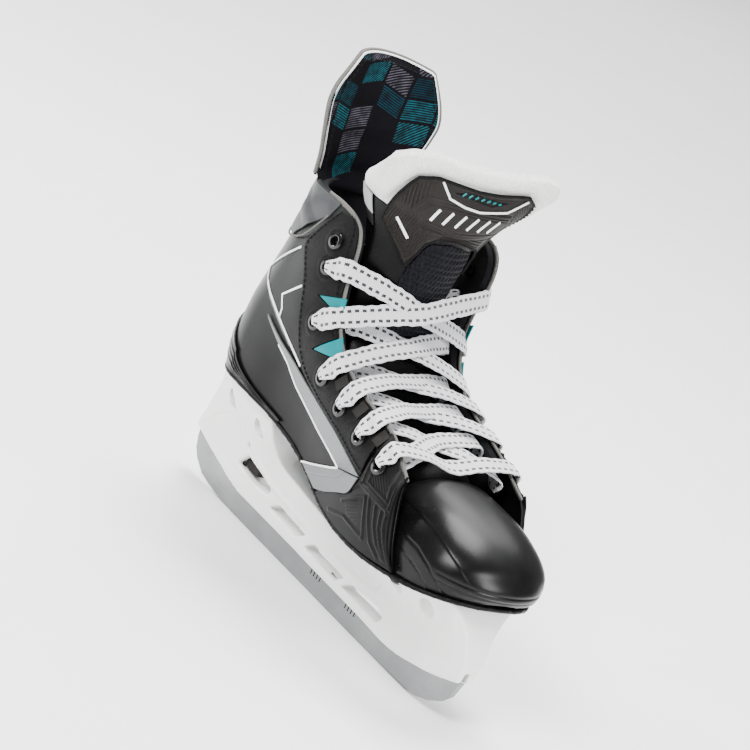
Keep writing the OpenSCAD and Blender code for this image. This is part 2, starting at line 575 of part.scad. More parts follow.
// The free end of the tongue is turned a little towards the inner side
function tongue_turn(z) = 0.1 * ramp(186, 226, z);
tongue_t = 6;
function tongue_normal(rows, i) =
    let (a = rows[max(i - 1, 0)], b = rows[min(i + 1, len(rows) - 1)], t = unit([b[0] - a[0], b[1] - a[1]]))
    [t[1], -t[0]];
function tongue_grid(rows, off, cols) =
    [for (i = [0 : len(rows) - 1])
        let (r = rows[i], n = tongue_normal(rows, i))
        [for (j = [0 : cols])
            let (a = mix(-88, 88, j / cols), w = r[2] + off * 0.7)
            [r[0] + n[0] * (off - r[3] * (1 - cos(a))) + tongue_turn(r[1]) * w * sin(a), w * sin(a),
             r[1] + n[1] * (off - r[3] * (1 - cos(a)))]]];
module tongue_sheet(rows, thick) {
    sheet(tongue_grid(rows, 0, 14), tongue_grid(rows, -thick, 14));
}
module tongue_lower() {
    color([0.05, 0.05, 0.055]) tongue_sheet(tongue_low_rows, tongue_t - 1.5);
}
module tongue_upper() {
    color("ghostwhite") tongue_sheet(tongue_up_rows, tongue_t);
}
// Part of the upper tongue's face: height range and share of its width
function tongue_patch(z0, z1, k0, k1, off, cols, rows) =
    [for (j = [0 : rows])
        let (z = mix(z0, z1, j / rows),
             x = curve([for (r = tongue_up_rows) [r[1], r[0]]], z),
             w = curve([for (r = tongue_up_rows) [r[1], r[2]]], z),
             d = curve([for (r = tongue_up_rows) [r[1], r[3]]], z))
        [for (i = [0 : cols])
            let (a = mix(k0, k1, i / cols))
            [x + off - d * (1 - cos(a)) + tongue_turn(z) * w * sin(a), (w + off * 0.7) * sin(a), z]]];
module tongue_badge() {
    color([0.23, 0.21, 0.2]) difference() {
        sheet(tongue_patch(183, 232, -56, 56, 2.4, 14, 8), tongue_patch(183, 232, -56, 56, 0.5, 14, 8));
        translate([-30, 0, 180]) rotate([0, 90, 0]) cylinder(h = 60, r = 20, $fn = 48);
    }
}
module tongue_pad() {
    color([0.07, 0.07, 0.1]) sheet(tongue_patch(162, 194, -24, 24, 1.6, 8, 6),
                                   tongue_patch(162, 194, -24, 24, 0.5, 8, 6));
}
module size_tab() {
    color("lightgray") sheet(tongue_patch(197, 208, -82, -64, 1.4, 3, 3), tongue_patch(197, 208, -82, -64, 0.5, 3, 3));
}

// ---- Eyelets and lace ----
module eyelet() {
    depth = quarter_t + gap + lining_t + 1.2;
    bore = eyelet_bore / 2;
    rotate_extrude($fn = round_fn)
        polygon([[bore, trim_high + 1.4], [bore + 0.5, trim_high + 1.6], [bore + 1.9, trim_high + 1.2],
                 [bore + 2.1, trim_high + 0.9], [bore + eyelet_barrel, trim_high + 0.9],
                 [bore + eyelet_barrel, -depth + 0.3], [bore + 1.4, -depth + 0.3],
                 [bore + 1.4, -depth], [bore, -depth]]);
}
module eyelets(side) {
    on_side(side) for (k = [0 : len(eyelet_at) - 1]) at_eyelet(k, side) eyelet();
}
module eyelets_outer() { color([0.08, 0.08, 0.08]) eyelets("outer"); }
module eyelets_inner() { color([0.08, 0.08, 0.08]) eyelets("inner"); }

// Lace: crossed bars that leave each eyelet outwards and go under the opposite facing
// Where bars k and k-1 cross, in side view, from the fourth last eyelet pair down
lace_cross = [[0, 0], [0, 0], [-8.2, 158.3], [-5.6, 139.8], [5.2, 125.6], [21, 117], [40, 110.2]];
lace_front = [57, 105];
lace_room = quarter_t + gap + lining_t + 2.2;   // depth of the lace behind the lining
lace_over = trim_high + 1.5;                    // height of the lace on the eyestay
lace_swap = 0.95;                               // half the distance of two crossing bars
facing_reach = [14, 14, 14.5, 13.5, 13.5, 13, 11];
last_eyelet = len(eyelet_at) - 1;
function side_of(s) = s < 0 ? "outer" : "inner";
function placed(p, off, s) = let (q = on_boot(p, off, side_of(s))) [q[0], s * q[1], q[2]];
function facing_dir(k) =
    let (a = eyelet_at[max(k - 1, 0)], b = eyelet_at[min(k + 1, last_eyelet)]) unit(b - a);
function edge_dir(k) = let (t = facing_dir(k)) [-t[1], t[0]];
function lace_way(k) = let (t = facing_dir(k)) [t[0], 0, t[1]];
flat = [lace_w / 2, lace_t / 2];
pinched = [1.5, 0.6];
// One route point: place, direction of the lace's width, half width and half thickness
function by_eyelet(k, s, d, off, size) =
    [placed(eyelet_at[k] + edge_dir(k) * d, off, s), lace_way(k), size];
function through(k, s) =
    [by_eyelet(k, s, 0.4, -lace_room, [2.5, 0.7]), by_eyelet(k, s, 0, -3, pinched), by_eyelet(k, s, 0.2, 1.4, pinched)];
function reversed(list) = [for (i = [len(list) - 1 : -1 : 0]) list[i]];
function outside_run(k, s) =
    [by_eyelet(k, s, 1.6, lace_over + 1.6, [2.6, 0.9]), by_eyelet(k, s, 6.5, lace_over + 0.3, flat),
     by_eyelet(k, s, facing_reach[k], lace_over, flat)];
function inside_run(k, s) =
    [by_eyelet(k, s, 5, -lace_room, flat), by_eyelet(k, s, facing_reach[k] - 1, -lace_room + 0.2, flat)];
function centre_point(c, k, side, up) =
    let (t = lace_way(k), n = [-t[2], 0, t[0]])
    [[c[0], side, c[1]] + n * up, t, flat];
function midway(a, b, k, up) =
    let (t = lace_way(k), n = [-t[2], 0, t[0]]) [mix(a[0], b[0], 0.5) + n * up, mix(a[1], b[1], 0.5), flat];
function bar(k, s) =
    let (
        up = s < 0 ? lace_swap : -lace_swap,
        start = k == last_eyelet ? inside_run(k, s) : outside_run(k, s),
        end = k == 2 ? reversed(outside_run(k - 1, -s)) : reversed(inside_run(k - 1, -s)),
        mid = centre_point(lace_cross[k], k, 0, up),
        a = start[len(start) - 1], b = end[0])
    concat(start, [midway(a, mid, k, 2.2)], [mid], [midway(mid, b, k, k == 2 ? 2.4 : 1.2)], end);
tail_steps = [[-6, -6], [-13, -16], [-18, -29], [-20, -42]];
function tail(s) =
    [for (d = tail_steps) [placed(eyelet_at[1] + d, -lace_room - 0.6, s), [0.9, 0, 0.4], [3, 0.6]]];
function half_lace(s) =
    concat(reversed(through(last_eyelet, s)),
        bar(6, s), through(5, -s),
        bar(5, -s), through(4, s),
        bar(4, s), through(3, -s),
        bar(3, -s), through(2, s),
        bar(2, s), reversed(through(1, -s)), tail(-s));
function front_bar() =
    let (a = outside_run(last_eyelet, -1), b = outside_run(last_eyelet, 1),
         mid = centre_point(lace_front, last_eyelet, 0, 0))
    concat(a, [midway(a[2], mid, last_eyelet, 2)], [mid], [midway(mid, b[2], last_eyelet, 2)], reversed(b));
lace_route = concat(reversed(half_lace(-1)), front_bar(), half_lace(1));
// Catmull-Rom through the route, two rings for each step
function spline(a, b, c, d, u) =
    0.5 * (2 * b + (c - a) * u + (2 * a - 5 * b + 4 * c - d) * u * u + (3 * b - a - 3 * c + d) * u * u * u);
function lace_at(i, u, part) =
    let (n = len(lace_route) - 1)
    spline(lace_route[max(i - 1, 0)][part], lace_route[i][part], lace_route[min(i + 1, n)][part],
           lace_route[min(i + 2, n)][part], u);
lace_section = [[1, 0], [0.85, 1], [-0.85, 1], [-1, 0], [-0.85, -1], [0.85, -1]];
module lace() {
    n = len(lace_route) - 1;
    pts = [for (i = [0 : n - 1], u = [0, 0.5])
        [lace_at(i, u, 0), lace_at(i, u, 1), mix(lace_route[i][2], lace_route[i + 1][2], u)]];
    rings = [for (i = [0 : len(pts) - 1])
        let (dir = unit(pts[min(i + 1, len(pts) - 1)][0] - pts[max(i - 1, 0)][0]),
             w0 = pts[i][1], w = unit(w0 - dir * (w0 * dir)), h = cross(dir, w))
        [for (q = lace_section) pts[i][0] + w * q[0] * pts[i][2][0] + h * q[1] * pts[i][2][1]]];
    color("white") tube(rings);
}

runner();
blade_holder();
trigger();
trigger_pin();
trigger_spring();
rivets_front();
rivets_rear();
rivet_washers();
outsole();
insole_board();
footbed();
quarter_outer();
quarter_inner();
lining_outer();
lining_inner();
heel_counter();
collar_outer();
collar_inner();
eyestay_outer();
eyestay_inner();
notch_inserts_outer();
notch_inserts_inner();
accent_outer();
accent_inner();
forefoot_guard_outer();
forefoot_guard_inner();
toe_cap();
toe_lining();
tendon_guard();
tendon_guard_lining();
tongue_lower();
tongue_upper();
tongue_badge();
tongue_pad();
size_tab();
eyelets_outer();
eyelets_inner();
lace();
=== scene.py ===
import math

import bpy
import numpy as np
from mathutils import Matrix, Vector


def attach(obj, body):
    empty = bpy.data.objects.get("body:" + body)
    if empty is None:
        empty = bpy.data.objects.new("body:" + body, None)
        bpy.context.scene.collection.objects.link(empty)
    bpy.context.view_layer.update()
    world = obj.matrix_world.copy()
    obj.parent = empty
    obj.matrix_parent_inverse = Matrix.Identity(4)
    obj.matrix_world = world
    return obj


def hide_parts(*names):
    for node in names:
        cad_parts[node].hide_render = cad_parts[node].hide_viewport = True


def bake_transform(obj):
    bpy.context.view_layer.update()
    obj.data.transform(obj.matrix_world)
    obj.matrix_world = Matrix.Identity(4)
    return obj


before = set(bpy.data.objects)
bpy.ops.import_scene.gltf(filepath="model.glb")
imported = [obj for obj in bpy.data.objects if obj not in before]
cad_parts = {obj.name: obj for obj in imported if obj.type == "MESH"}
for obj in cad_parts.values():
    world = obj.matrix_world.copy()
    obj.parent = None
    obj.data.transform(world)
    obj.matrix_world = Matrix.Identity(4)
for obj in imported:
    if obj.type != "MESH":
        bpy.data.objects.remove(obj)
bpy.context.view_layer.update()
print("frame loaded")

mm = 0.001

# camera and light
view = dict(place=(972.6, -897.4, 495.7), right=(0.524, 0.751, 0.401),
            down=(0.463, 0.144, -0.874), ahead=(-0.714, 0.644, -0.273), lens=129.66)


def makeCamera():
    camera = bpy.data.objects.new("camera", bpy.data.cameras.new("camera"))
    bpy.context.scene.collection.objects.link(camera)
    axes = Matrix((Vector(view["right"]).normalized(), -Vector(view["down"]).normalized(),
                   -Vector(view["ahead"]).normalized())).transposed()
    camera.matrix_world = Matrix.Translation(Vector(view["place"]) * mm) @ axes.to_4x4()
    camera.data.lens = view["lens"]
    camera.data.sensor_width = 36
    camera.data.clip_start, camera.data.clip_end = 0.05, 20
    bpy.context.scene.camera = camera


lamps = [  # name, place, target, size, power
    ("keyLight", (0.35, -1.15, 1.25), (0, 0, 0.12), 0.7, 50),
    ("sideLight", (1.5, 0.35, 0.7), (0.03, 0, 0.1), 0.5, 26),
    ("topLight", (-0.25, 0.3, 1.6), (0, 0, 0.12), 0.8, 46),
    ("rearLight", (-1.3, -0.7, 0.9), (-0.05, 0, 0.12), 0.5, 24),
    ("floorLight", (-1.9, 1.7, 2.6), (-1.9, 1.7, 0), 2.5, 150),
]


def makeLights():
    for name, place, target, size, power in lamps:
        data = bpy.data.lights.new(name, "AREA")
        data.size, data.energy = size, power
        lamp = bpy.data.objects.new(name, data)
        bpy.context.scene.collection.objects.link(lamp)
        lamp.location = place
        lamp.rotation_euler = (Vector(target) - Vector(place)).to_track_quat("-Z", "Y").to_euler()
    world = bpy.context.scene.world or bpy.data.worlds.new("world")
    bpy.context.scene.world = world
    world.use_nodes = True
    background = world.node_tree.nodes["Background"]
    background.inputs["Color"].default_value = (1, 1, 1, 1)
    background.inputs["Strength"].default_value = 0.3


# the boot's surface
# The same lines and half widths as the CAD part, in millimetres
outsoleLine = [[-130, 72], [-88, 72], [-60, 71.6], [-42, 70.2], [-20, 67], [-4, 63.2],
               [16, 57.4], [30, 54.8], [44, 53.8], [65, 54.6], [85, 57], [105, 60.2],
               [120, 63], [134, 66]]
heelLine = [[70, -120], [88, -123.5], [108, -124], [130, -121.5], [150, -117],
            [170, -113], [190, -110.5], [215, -113], [262, -117]]
heelRound = [[70, 30], [110, 32], [150, 34], [190, 28]]
bootX = [-110, -80, -50, -20, 10, 40, 70, 100]
bootRows = [
    [55, [27, 28, 28, 29, 33, 37.5, 40, 38]],
    [75, [28, 30, 30, 31.5, 36, 41, 43, 41]],
    [95, [30, 33, 34, 36.5, 40, 42.5, 42, 38]],
    [105, [30, 34, 36, 39.5, 41.5, 41, 37.5, 34]],
    [115, [30, 34.5, 38, 41, 40, 36, 32, 30]],
    [125, [29.5, 35, 39.5, 41.5, 36.5, 32, 30, 30]],
    [135, [29, 35.5, 40.5, 40, 34, 31, 30, 30]],
    [155, [28, 35.5, 41, 37, 33, 30, 30, 30]],
    [175, [27, 35, 39.5, 34, 31, 30, 30, 30]],
    [195, [27, 34.5, 36.5, 30, 30, 30, 30, 30]],
]
facingTop = [[-72, 190.5], [-58, 191], [-46, 189.5], [-38, 185], [-33, 177], [-30, 167],
             [-27.5, 157], [-23, 147], [-16, 137], [-6, 128.5], [8, 122], [22, 118.5],
             [36, 116], [50, 112.5], [62, 107], [73.5, 101.5]]
facingFrom = 0.19
eyeletAt = [[-46, 174], [-42.5, 161], [-33, 134], [-10, 114], [12, 108], [34, 103.5], [56, 99]]
eyeletHole = 3.1
layers = dict(shell=1.5, gap=0.25, lining=3.6, outsole=2.5, trim=1.0)
trimLow = layers["gap"] + 0.2
trimHigh = trimLow + layers["trim"]


def hermite(knots, values, at):
    # smooth curve through values at knots; a column of values for each point also works
    knots = np.asarray(knots, float)
    values = np.asarray(values, float)
    at = np.atleast_1d(np.asarray(at, float))
    last = len(knots) - 1
    i = np.clip(np.searchsorted(knots, at, side="right") - 1, 0, last - 1)
    before, after = np.maximum(i - 1, 0), np.minimum(i + 2, last)

    def pick(index):
        return values[index] if values.ndim == 1 else values[index, np.arange(len(at))]

    step = knots[i + 1] - knots[i]
    u = np.clip((at - knots[i]) / step, 0, 1)
    b, c = pick(i), pick(i + 1)
    slopeB = (c - pick(before)) / (knots[i + 1] - knots[before]) * step
    slopeC = (pick(after) - b) / (knots[after] - knots[i]) * step
    return (b * (2 * u ** 3 - 3 * u ** 2 + 1) + slopeB * (u ** 3 - 2 * u ** 2 + u)
            + c * (3 * u ** 2 - 2 * u ** 3) + slopeC * (u ** 3 - u ** 2))


def lineAt(line, at):
    line = np.asarray(line, float)
    return hermite(line[:, 0], line[:, 1], at)


def runOf(path):
    # distance along a path at each of its points
    return np.concatenate([[0], np.cumsum(np.linalg.norm(np.diff(path, axis=0), axis=1))])


def along(line, s):
    # points on a line of evenly numbered points, s from 0 to 1
    line = np.asarray(line, float)
    even = np.linspace(0, 1, len(line))
    return np.stack([hermite(even, line[:, k], s) for k in range(line.shape[1])], -1)


def ramp(low, high, at):
    u = np.clip((np.asarray(at, float) - low) / (high - low), 0, 1)
    return u * u * (3 - 2 * u)


def unit(v):
    return v / np.maximum(np.linalg.norm(v, axis=-1, keepdims=True), 1e-9)


def soleZ(x):
    return lineAt(outsoleLine, x)


def heelX(z):
    return lineAt(heelLine, z)


def halfWidth(x, z):
    x, z = np.broadcast_arrays(np.asarray(x, float), np.asarray(z, float))
    shape = x.shape
    x, z = x.ravel(), z.ravel()
    rows = np.array([hermite(bootX, row[1], x) for row in bootRows])
    wide = hermite([row[0] for row in bootRows], rows, z)
    radius, depth = lineAt(heelRound, z), x - heelX(z)
    turn = np.clip(1 - depth / radius, 0, 1)
    return (wide * np.sqrt(np.maximum(1 - turn ** 2, 0))).reshape(shape)


def bootNormal(x, z):
    e = 0.4
    n = np.stack([(halfWidth(x - e, z) - halfWidth(x + e, z)) / (2 * e), np.ones(np.shape(x)),
                  (halfWidth(x, z - e) - halfWidth(x, z + e)) / (2 * e)], -1)
    return unit(n)


def spread(p, side):
    # the inner side of the cuff stands wider, higher and further forward
    if side == "outer":
        return np.zeros(p.shape[:-1] + (3,))
    ahead = ramp(135, 190, p[..., 1]) * ramp(-95, -45, p[..., 0])
    out = ramp(100, 185, p[..., 1]) * ramp(-100, -40, p[..., 0])
    return np.stack([12 * ahead, 11 * out, 6 * ahead], -1)


def onBoot(p, off, side="outer"):
    # a point of the side view on the boot, off millimetres out of its surface
    p = np.asarray(p, float)
    x, z = p[..., 0], p[..., 1]
    place = np.stack([x, halfWidth(x, z), z], -1) + spread(p, side)
    place = place + bootNormal(x, z) * np.asarray(off, float)[..., None]
    if side == "outer":
        place = place * np.array([1, -1, 1])
    return place


def mix(a, b, t):
    return a * (1 - t) + b * t


def facingOut(s):
    t = unit(along(facingTop, s + 0.02) - along(facingTop, s - 0.02))
    out = np.stack([-t[:, 1], t[:, 0]], -1)
    out[np.asarray(s) < facingFrom] = (0, 1)
    return out


def bootPlan(u, v, front=1.0, drop=0.0, foot=0.0, heelShare=0.27, start=0.5):
    # side-view place of u round the heel and along the side, v from the sole to the edge
    lowX = np.array([-90, -82, -74, -66, -58, -50, -41, -31, -20, -8, 5, 20, 38, 56, 73, 92], float)
    facingLow = np.stack([lowX, soleZ(lowX) + layers["outsole"] + 0.2], -1)
    s = front * np.clip((u - heelShare) / (1 - heelShare), 0, 1)
    low = along(facingLow, s) + np.array([0, foot])
    high = along(facingTop, s)
    side = mix(low, high - facingOut(s) * drop, v[:, None])
    turn = np.radians(mix(start, 90, np.clip(u / heelShare, 0, 1)))
    z = mix(facingLow[0, 1] + foot, facingTop[0][1] - drop, v)
    radius = mix(facingLow[0, 0], facingTop[0][0], v) - heelX(z)
    heel = np.stack([heelX(z) + radius * (1 - np.cos(turn)), z], -1)
    return np.where((u < heelShare)[:, None], heel, side)


# mesh helpers
def deselect():
    bpy.ops.object.select_all(action="DESELECT")


def activate(obj):
    deselect()
    bpy.context.view_layer.objects.active = obj
    obj.select_set(True)


def modify(obj, kind, **values):
    activate(obj)
    modifier = obj.modifiers.new(kind.lower(), kind)
    for key, value in values.items():
        setattr(modifier, key, value)
    bpy.ops.object.modifier_apply(modifier=modifier.name)


def finishPiece(obj, material, body, smooth=35, replaces=()):
    obj.data.materials.clear()
    obj.data.materials.append(material)
    activate(obj)
    bpy.ops.object.shade_smooth_by_angle(angle=math.radians(smooth))
    if isinstance(body, tuple):
        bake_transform(obj)
    else:
        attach(obj, body)
    if replaces:
        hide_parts(*replaces)
    return obj


def objectFrom(name, points, faces):
    # an object of its own mesh, points in metres
    mesh = bpy.data.meshes.new(name)
    mesh.from_pydata(points, [], faces)
    obj = bpy.data.objects.new(name, mesh)
    bpy.context.scene.collection.objects.link(obj)
    return obj


def inEditMode(obj, step):
    # one edit-mode step on the whole of a mesh
    activate(obj)
    bpy.ops.object.mode_set(mode="EDIT")
    bpy.ops.mesh.select_all(action="SELECT")
    step()
    bpy.ops.object.mode_set(mode="OBJECT")
    return obj


def outwards():
    bpy.ops.mesh.normals_make_consistent(inside=False)


def gridPiece(name, columns, rows, shape):
    # a grid primitive whose points are placed by shape(u, v), in millimetres
    deselect()
    bpy.ops.mesh.primitive_grid_add(x_subdivisions=columns, y_subdivisions=rows, size=1)
    obj = bpy.context.object
    obj.name = obj.data.name = name
    co = np.zeros(len(obj.data.vertices) * 3)
    obj.data.vertices.foreach_get("co", co)
    co = co.reshape(-1, 3)
    placed = shape(np.clip(co[:, 0] + 0.5, 0, 1), np.clip(co[:, 1] + 0.5, 0, 1))
    obj.data.vertices.foreach_set("co", (placed * mm).ravel())
    obj.data.update()
    return obj


def faceOutwards(obj, away):
    # turns the faces round if they look along away from the wrong side
    total = sum(((f.normal.dot(away(f.center))) * f.area for f in obj.data.polygons))
    if total < 0:
        obj.data.flip_normals()


def skin(name, columns, rows, shape, thick, away, edge=0.25, segments=2):
    # an open surface given a wall inwards and a rounded rim
    obj = gridPiece(name, columns, rows, shape)
    faceOutwards(obj, away)
    modify(obj, "SOLIDIFY", thickness=thick * mm, offset=-1, use_even_offset=False)
    if edge:
        modify(obj, "BEVEL", width=edge * mm, segments=segments, limit_method="ANGLE",
               angle_limit=math.radians(50))
    return obj


def sideAway(side):
    return lambda c: Vector((0, -1 if side == "outer" else 1, 0))


def outOfHeel(side):
    heelMiddle, lean = -0.085, -0.02 if side == "outer" else 0.02
    return lambda c: Vector((min(c.x - heelMiddle, 0), c.y + lean, 0))


def patch(name, side, columns, rows, plan, low, high, relief=None, edge=0.2):
    # a trim piece lying on the boot between low and high, plan(u, v) is its side view
    def shape(u, v):
        p = plan(u, v)
        rise = relief(u, v, p) if relief else 0 * u
        return onBoot(p, high + rise, side)
    return skin(name + side.capitalize(), columns, rows, shape, high - low, sideAway(side), edge)


def between(lowLine, highLine):
    return lambda u, v: mix(along(lowLine, u), along(highLine, u), v[:, None])


def sweep(name, path, across, section, closed=False):
    # a tube along path, section is [along the width, along the thickness] in millimetres
    path, across = np.asarray(path, float), np.asarray(across, float)
    ahead = np.gradient(path, axis=0) if not closed else np.roll(path, -1, 0) - np.roll(path, 1, 0)
    ahead = unit(ahead)
    wide = unit(across - ahead * np.sum(across * ahead, -1, keepdims=True))
    thick = np.cross(ahead, wide)
    section = np.asarray(section, float)
    if section.ndim == 2:
        section = np.repeat(section[None], len(path), 0)
    points = (path[:, None] + wide[:, None] * section[..., :1] + thick[:, None] * section[..., 1:]) * mm
    count, sides = section.shape[:2]
    faces, uvs = [], []
    steps = runOf(path)
    for i in range(count if closed else count - 1):
        j = (i + 1) % count
        for k in range(sides):
            m = (k + 1) % sides
            faces.append((i * sides + k, i * sides + m, j * sides + m, j * sides + k))
            s0, s1 = steps[i], steps[i + 1] if i + 1 < count else steps[-1] + 1
            uvs += [(s0, k / sides), (s0, (k + 1) / sides), (s1, (k + 1) / sides), (s1, k / sides)]
    if not closed:
        faces += [tuple(range(sides))[::-1], tuple((count - 1) * sides + k for k in range(sides))]
        uvs += [(0, 0)] * (2 * sides)
    obj = objectFrom(name, points.reshape(-1, 3).tolist(), faces)
    layer = obj.data.uv_layers.new(name="UVMap")
    layer.data.foreach_set("uv", np.array(uvs, float).ravel())
    return inEditMode(obj, outwards)


def roundSection(wide, thick, sides=10, power=1.0):
    a = np.linspace(0, 2 * math.pi, sides, endpoint=False)
    c, s = np.cos(a), np.sin(a)
    return np.stack([wide * np.sign(c) * np.abs(c) ** power, thick * np.sign(s) * np.abs(s) ** power], -1)


def evenly(line, gap):
    # points along a side-view line at equal gaps
    line = np.asarray(line, float)
    fine = along(line, np.linspace(0, 1, 400))
    run = runOf(fine)
    count = max(2, int(round(run[-1] / gap)) + 1)
    at = np.linspace(0, run[-1], count)
    return np.stack([np.interp(at, run, fine[:, k]) for k in range(2)], -1)


def surfaceTube(name, side, line, off, wide, thick, gap=1.0, sides=8, corners=False):
    # piping that follows a side-view line on the boot
    if corners:
        p = np.concatenate([evenly(line[i:i + 2], gap)[min(i, 1):] for i in range(len(line) - 1)])
    else:
        p = evenly(line, gap)
    path = onBoot(p, off + 0 * p[:, 0], side)
    out = onBoot(p, off + 1 + 0 * p[:, 0], side) - path
    across = np.cross(unit(np.gradient(path, axis=0)), out)
    return sweep(name + side.capitalize(), path, across, roundSection(wide, thick, sides, 0.8))


def stitches(name, places, ways, ups, length=2.2, wide=0.42, high=0.34):
    # short rounded threads, one for each place
    base = []
    for t, r in ((-0.5, 0.3), (-0.38, 0.85), (0, 1), (0.38, 0.85), (0.5, 0.3)):
        for a in np.arange(6) * math.pi / 3:
            base.append((t * length, r * wide * math.cos(a), r * high * math.sin(a)))
    base = np.array(base)
    faces = [(i * 6 + k, i * 6 + (k + 1) % 6, (i + 1) * 6 + (k + 1) % 6, (i + 1) * 6 + k)
             for i in range(4) for k in range(6)]
    faces += [tuple(range(5, -1, -1)), tuple(range(24, 30))]
    points, all_ = [], []
    for n, (place, way, up) in enumerate(zip(places, ways, ups)):
        side = np.cross(up, way)
        points.append(place + base[:, :1] * way + base[:, 1:2] * side + base[:, 2:] * up)
        all_ += [tuple(k + 30 * n for k in f) for f in faces]
    return objectFrom(name, (np.concatenate(points) * mm).tolist(), all_)


def seamOnBoot(name, side, line, off, pitch=3.1, **sizes):
    p = evenly(line, pitch)
    for corners in notches.values():
        p = p[inside(p + spread(p, side)[:, [0, 2]], corners) > 1.5] if side == "outer" else p
    path = onBoot(p, off + 0 * p[:, 0], side)
    up = unit(onBoot(p, off + 1 + 0 * p[:, 0], side) - path)
    way = unit(np.gradient(path, axis=0))
    way = unit(way - up * np.sum(way * up, -1, keepdims=True))
    return stitches(name + side.capitalize(), path, way, up, **sizes)


def farFrom(p, a, b):
    # distance of each point from the piece of line between a and b
    d = b - a
    t = np.clip(((p - a) @ d) / max(d @ d, 1e-9), 0, 1)
    return np.linalg.norm(p - (a + t[:, None] * d), axis=1)


def nearLine(p, line, reach):
    # 1 on a side-view line, falling smoothly to 0 at reach
    line = np.asarray(line, float)
    best = np.full(len(p), 1e9)
    for a, b in zip(line[:-1], line[1:]):
        best = np.minimum(best, farFrom(p, a, b))
    u = np.clip(best / reach, 0, 1)
    return (1 - u * u) ** 2


def inside(p, corners):
    # signed distance to a side-view outline, negative within it
    corners = np.asarray(corners, float)
    best, within = np.full(len(p), 1e9), np.zeros(len(p), bool)
    for a, b in zip(corners, np.roll(corners, -1, 0)):
        d = b - a
        best = np.minimum(best, farFrom(p, a, b))
        crosses = (a[1] > p[:, 1]) != (b[1] > p[:, 1])
        at = a[0] + (p[:, 1] - a[1]) / (d[1] if abs(d[1]) > 1e-9 else 1e-9) * d[0]
        within ^= crosses & (p[:, 0] < at)
    return np.where(within, -best, best)


def cutHoles(obj, side):
    # drills the eyelet holes
    drills = []
    for at in eyeletAt:
        p = np.array([at], float)
        place = onBoot(p, np.zeros(1), side)[0]
        out = onBoot(p, np.ones(1), side)[0] - place
        deselect()
        bpy.ops.mesh.primitive_cylinder_add(vertices=40, radius=eyeletHole * mm, depth=24 * mm,
                                            location=Vector(place) * mm,
                                            rotation=Vector(out).to_track_quat("Z", "Y").to_euler())
        drills.append(bpy.context.object)
    for drill in drills:
        drill.select_set(True)
    bpy.context.view_layer.objects.active = drills[0]
    bpy.ops.object.join()
    drill = bpy.context.object
    modify(obj, "BOOLEAN", operation="DIFFERENCE", object=drill, solver="EXACT")
    bpy.data.objects.remove(drill)


def copyOf(node, name):
    # a merged copy of a CAD node
    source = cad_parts[node]
    mesh = source.data.copy()
    obj = bpy.data.objects.new(name, mesh)
    bpy.context.scene.collection.objects.link(obj)
    return inEditMode(obj, lambda: bpy.ops.mesh.remove_doubles(threshold=0.00001))


def moulded(node, name, voxel, smooth):
    # a copy rebuilt from small voxels with its edges rounded, as moulding leaves them
    obj = copyOf(node, name)
    modify(obj, "REMESH", mode="VOXEL", voxel_size=voxel * mm, adaptivity=0.0)
    modify(obj, "SMOOTH", factor=0.5, iterations=smooth)
    return obj


# shared effects
def node(tree, kind, **values):
    made = tree.nodes.new(kind)
    for key, value in values.items():
        setattr(made, key, value)
    return made


def math2(tree, operation, a, b=None, clamp=False):
    made = node(tree, "ShaderNodeMath", operation=operation, use_clamp=clamp)
    for index, value in enumerate((a, b)):
        if value is None:
            continue
        if isinstance(value, (int, float)):
            made.inputs[index].default_value = value
        else:
            tree.links.new(value, made.inputs[index])
    return made.outputs[0]


def times(tree, a, b, clamp=False):
    return math2(tree, "MULTIPLY", a, b, clamp)


def plus(tree, a, b, clamp=False):
    return math2(tree, "ADD", a, b, clamp)


def above(tree, a, b):
    return math2(tree, "GREATER_THAN", a, b)


def below(tree, a, b):
    return math2(tree, "LESS_THAN", a, b)


def sine(tree, a):
    return math2(tree, "SINE", a)


def effect(name, inputs, outputs, build):
    # a node group with named sockets, all of them values unless a vector is asked for
    group = bpy.data.node_groups.new(name, "ShaderNodeTree")
    for label, kind, value in inputs:
        socket = group.interface.new_socket(label, in_out="INPUT", socket_type=kind)
        if value is not None:
            socket.default_value = value
    for label in outputs:
        group.interface.new_socket(label, in_out="OUTPUT", socket_type="NodeSocketFloat")
    first, last = group.nodes.new("NodeGroupInput"), group.nodes.new("NodeGroupOutput")
    for label, socket in build(group, first.outputs).items():
        group.links.new(socket, last.inputs[label])
    return group


floatKind, vectorKind = "NodeSocketFloat", "NodeSocketVector"


def buildMoulded(tree, given):
    # fine pebbling and slow patches of a moulded surface
    fine = node(tree, "ShaderNodeTexNoise")
    fine.inputs["Detail"].default_value = 3
    tree.links.new(given["Vector"], fine.inputs["Vector"])
    tree.links.new(given["Scale"], fine.inputs["Scale"])
    slow = node(tree, "ShaderNodeTexNoise")
    slow.inputs["Scale"].default_value = 28
    slow.inputs["Detail"].default_value = 4
    tree.links.new(given["Vector"], slow.inputs["Vector"])
    return {"Height": fine.outputs["Fac"], "Patches": slow.outputs["Fac"]}


def buildGrain(tree, given):
    # pebbled leather grain
    cells = node(tree, "ShaderNodeTexVoronoi", feature="DISTANCE_TO_EDGE")
    tree.links.new(given["Vector"], cells.inputs["Vector"])
    tree.links.new(given["Scale"], cells.inputs["Scale"])
    creases = times(tree, cells.outputs["Distance"], 4.0, clamp=True)
    noise = node(tree, "ShaderNodeTexNoise")
    noise.inputs["Scale"].default_value = 60
    tree.links.new(given["Vector"], noise.inputs["Vector"])
    return {"Height": creases, "Patches": noise.outputs["Fac"]}


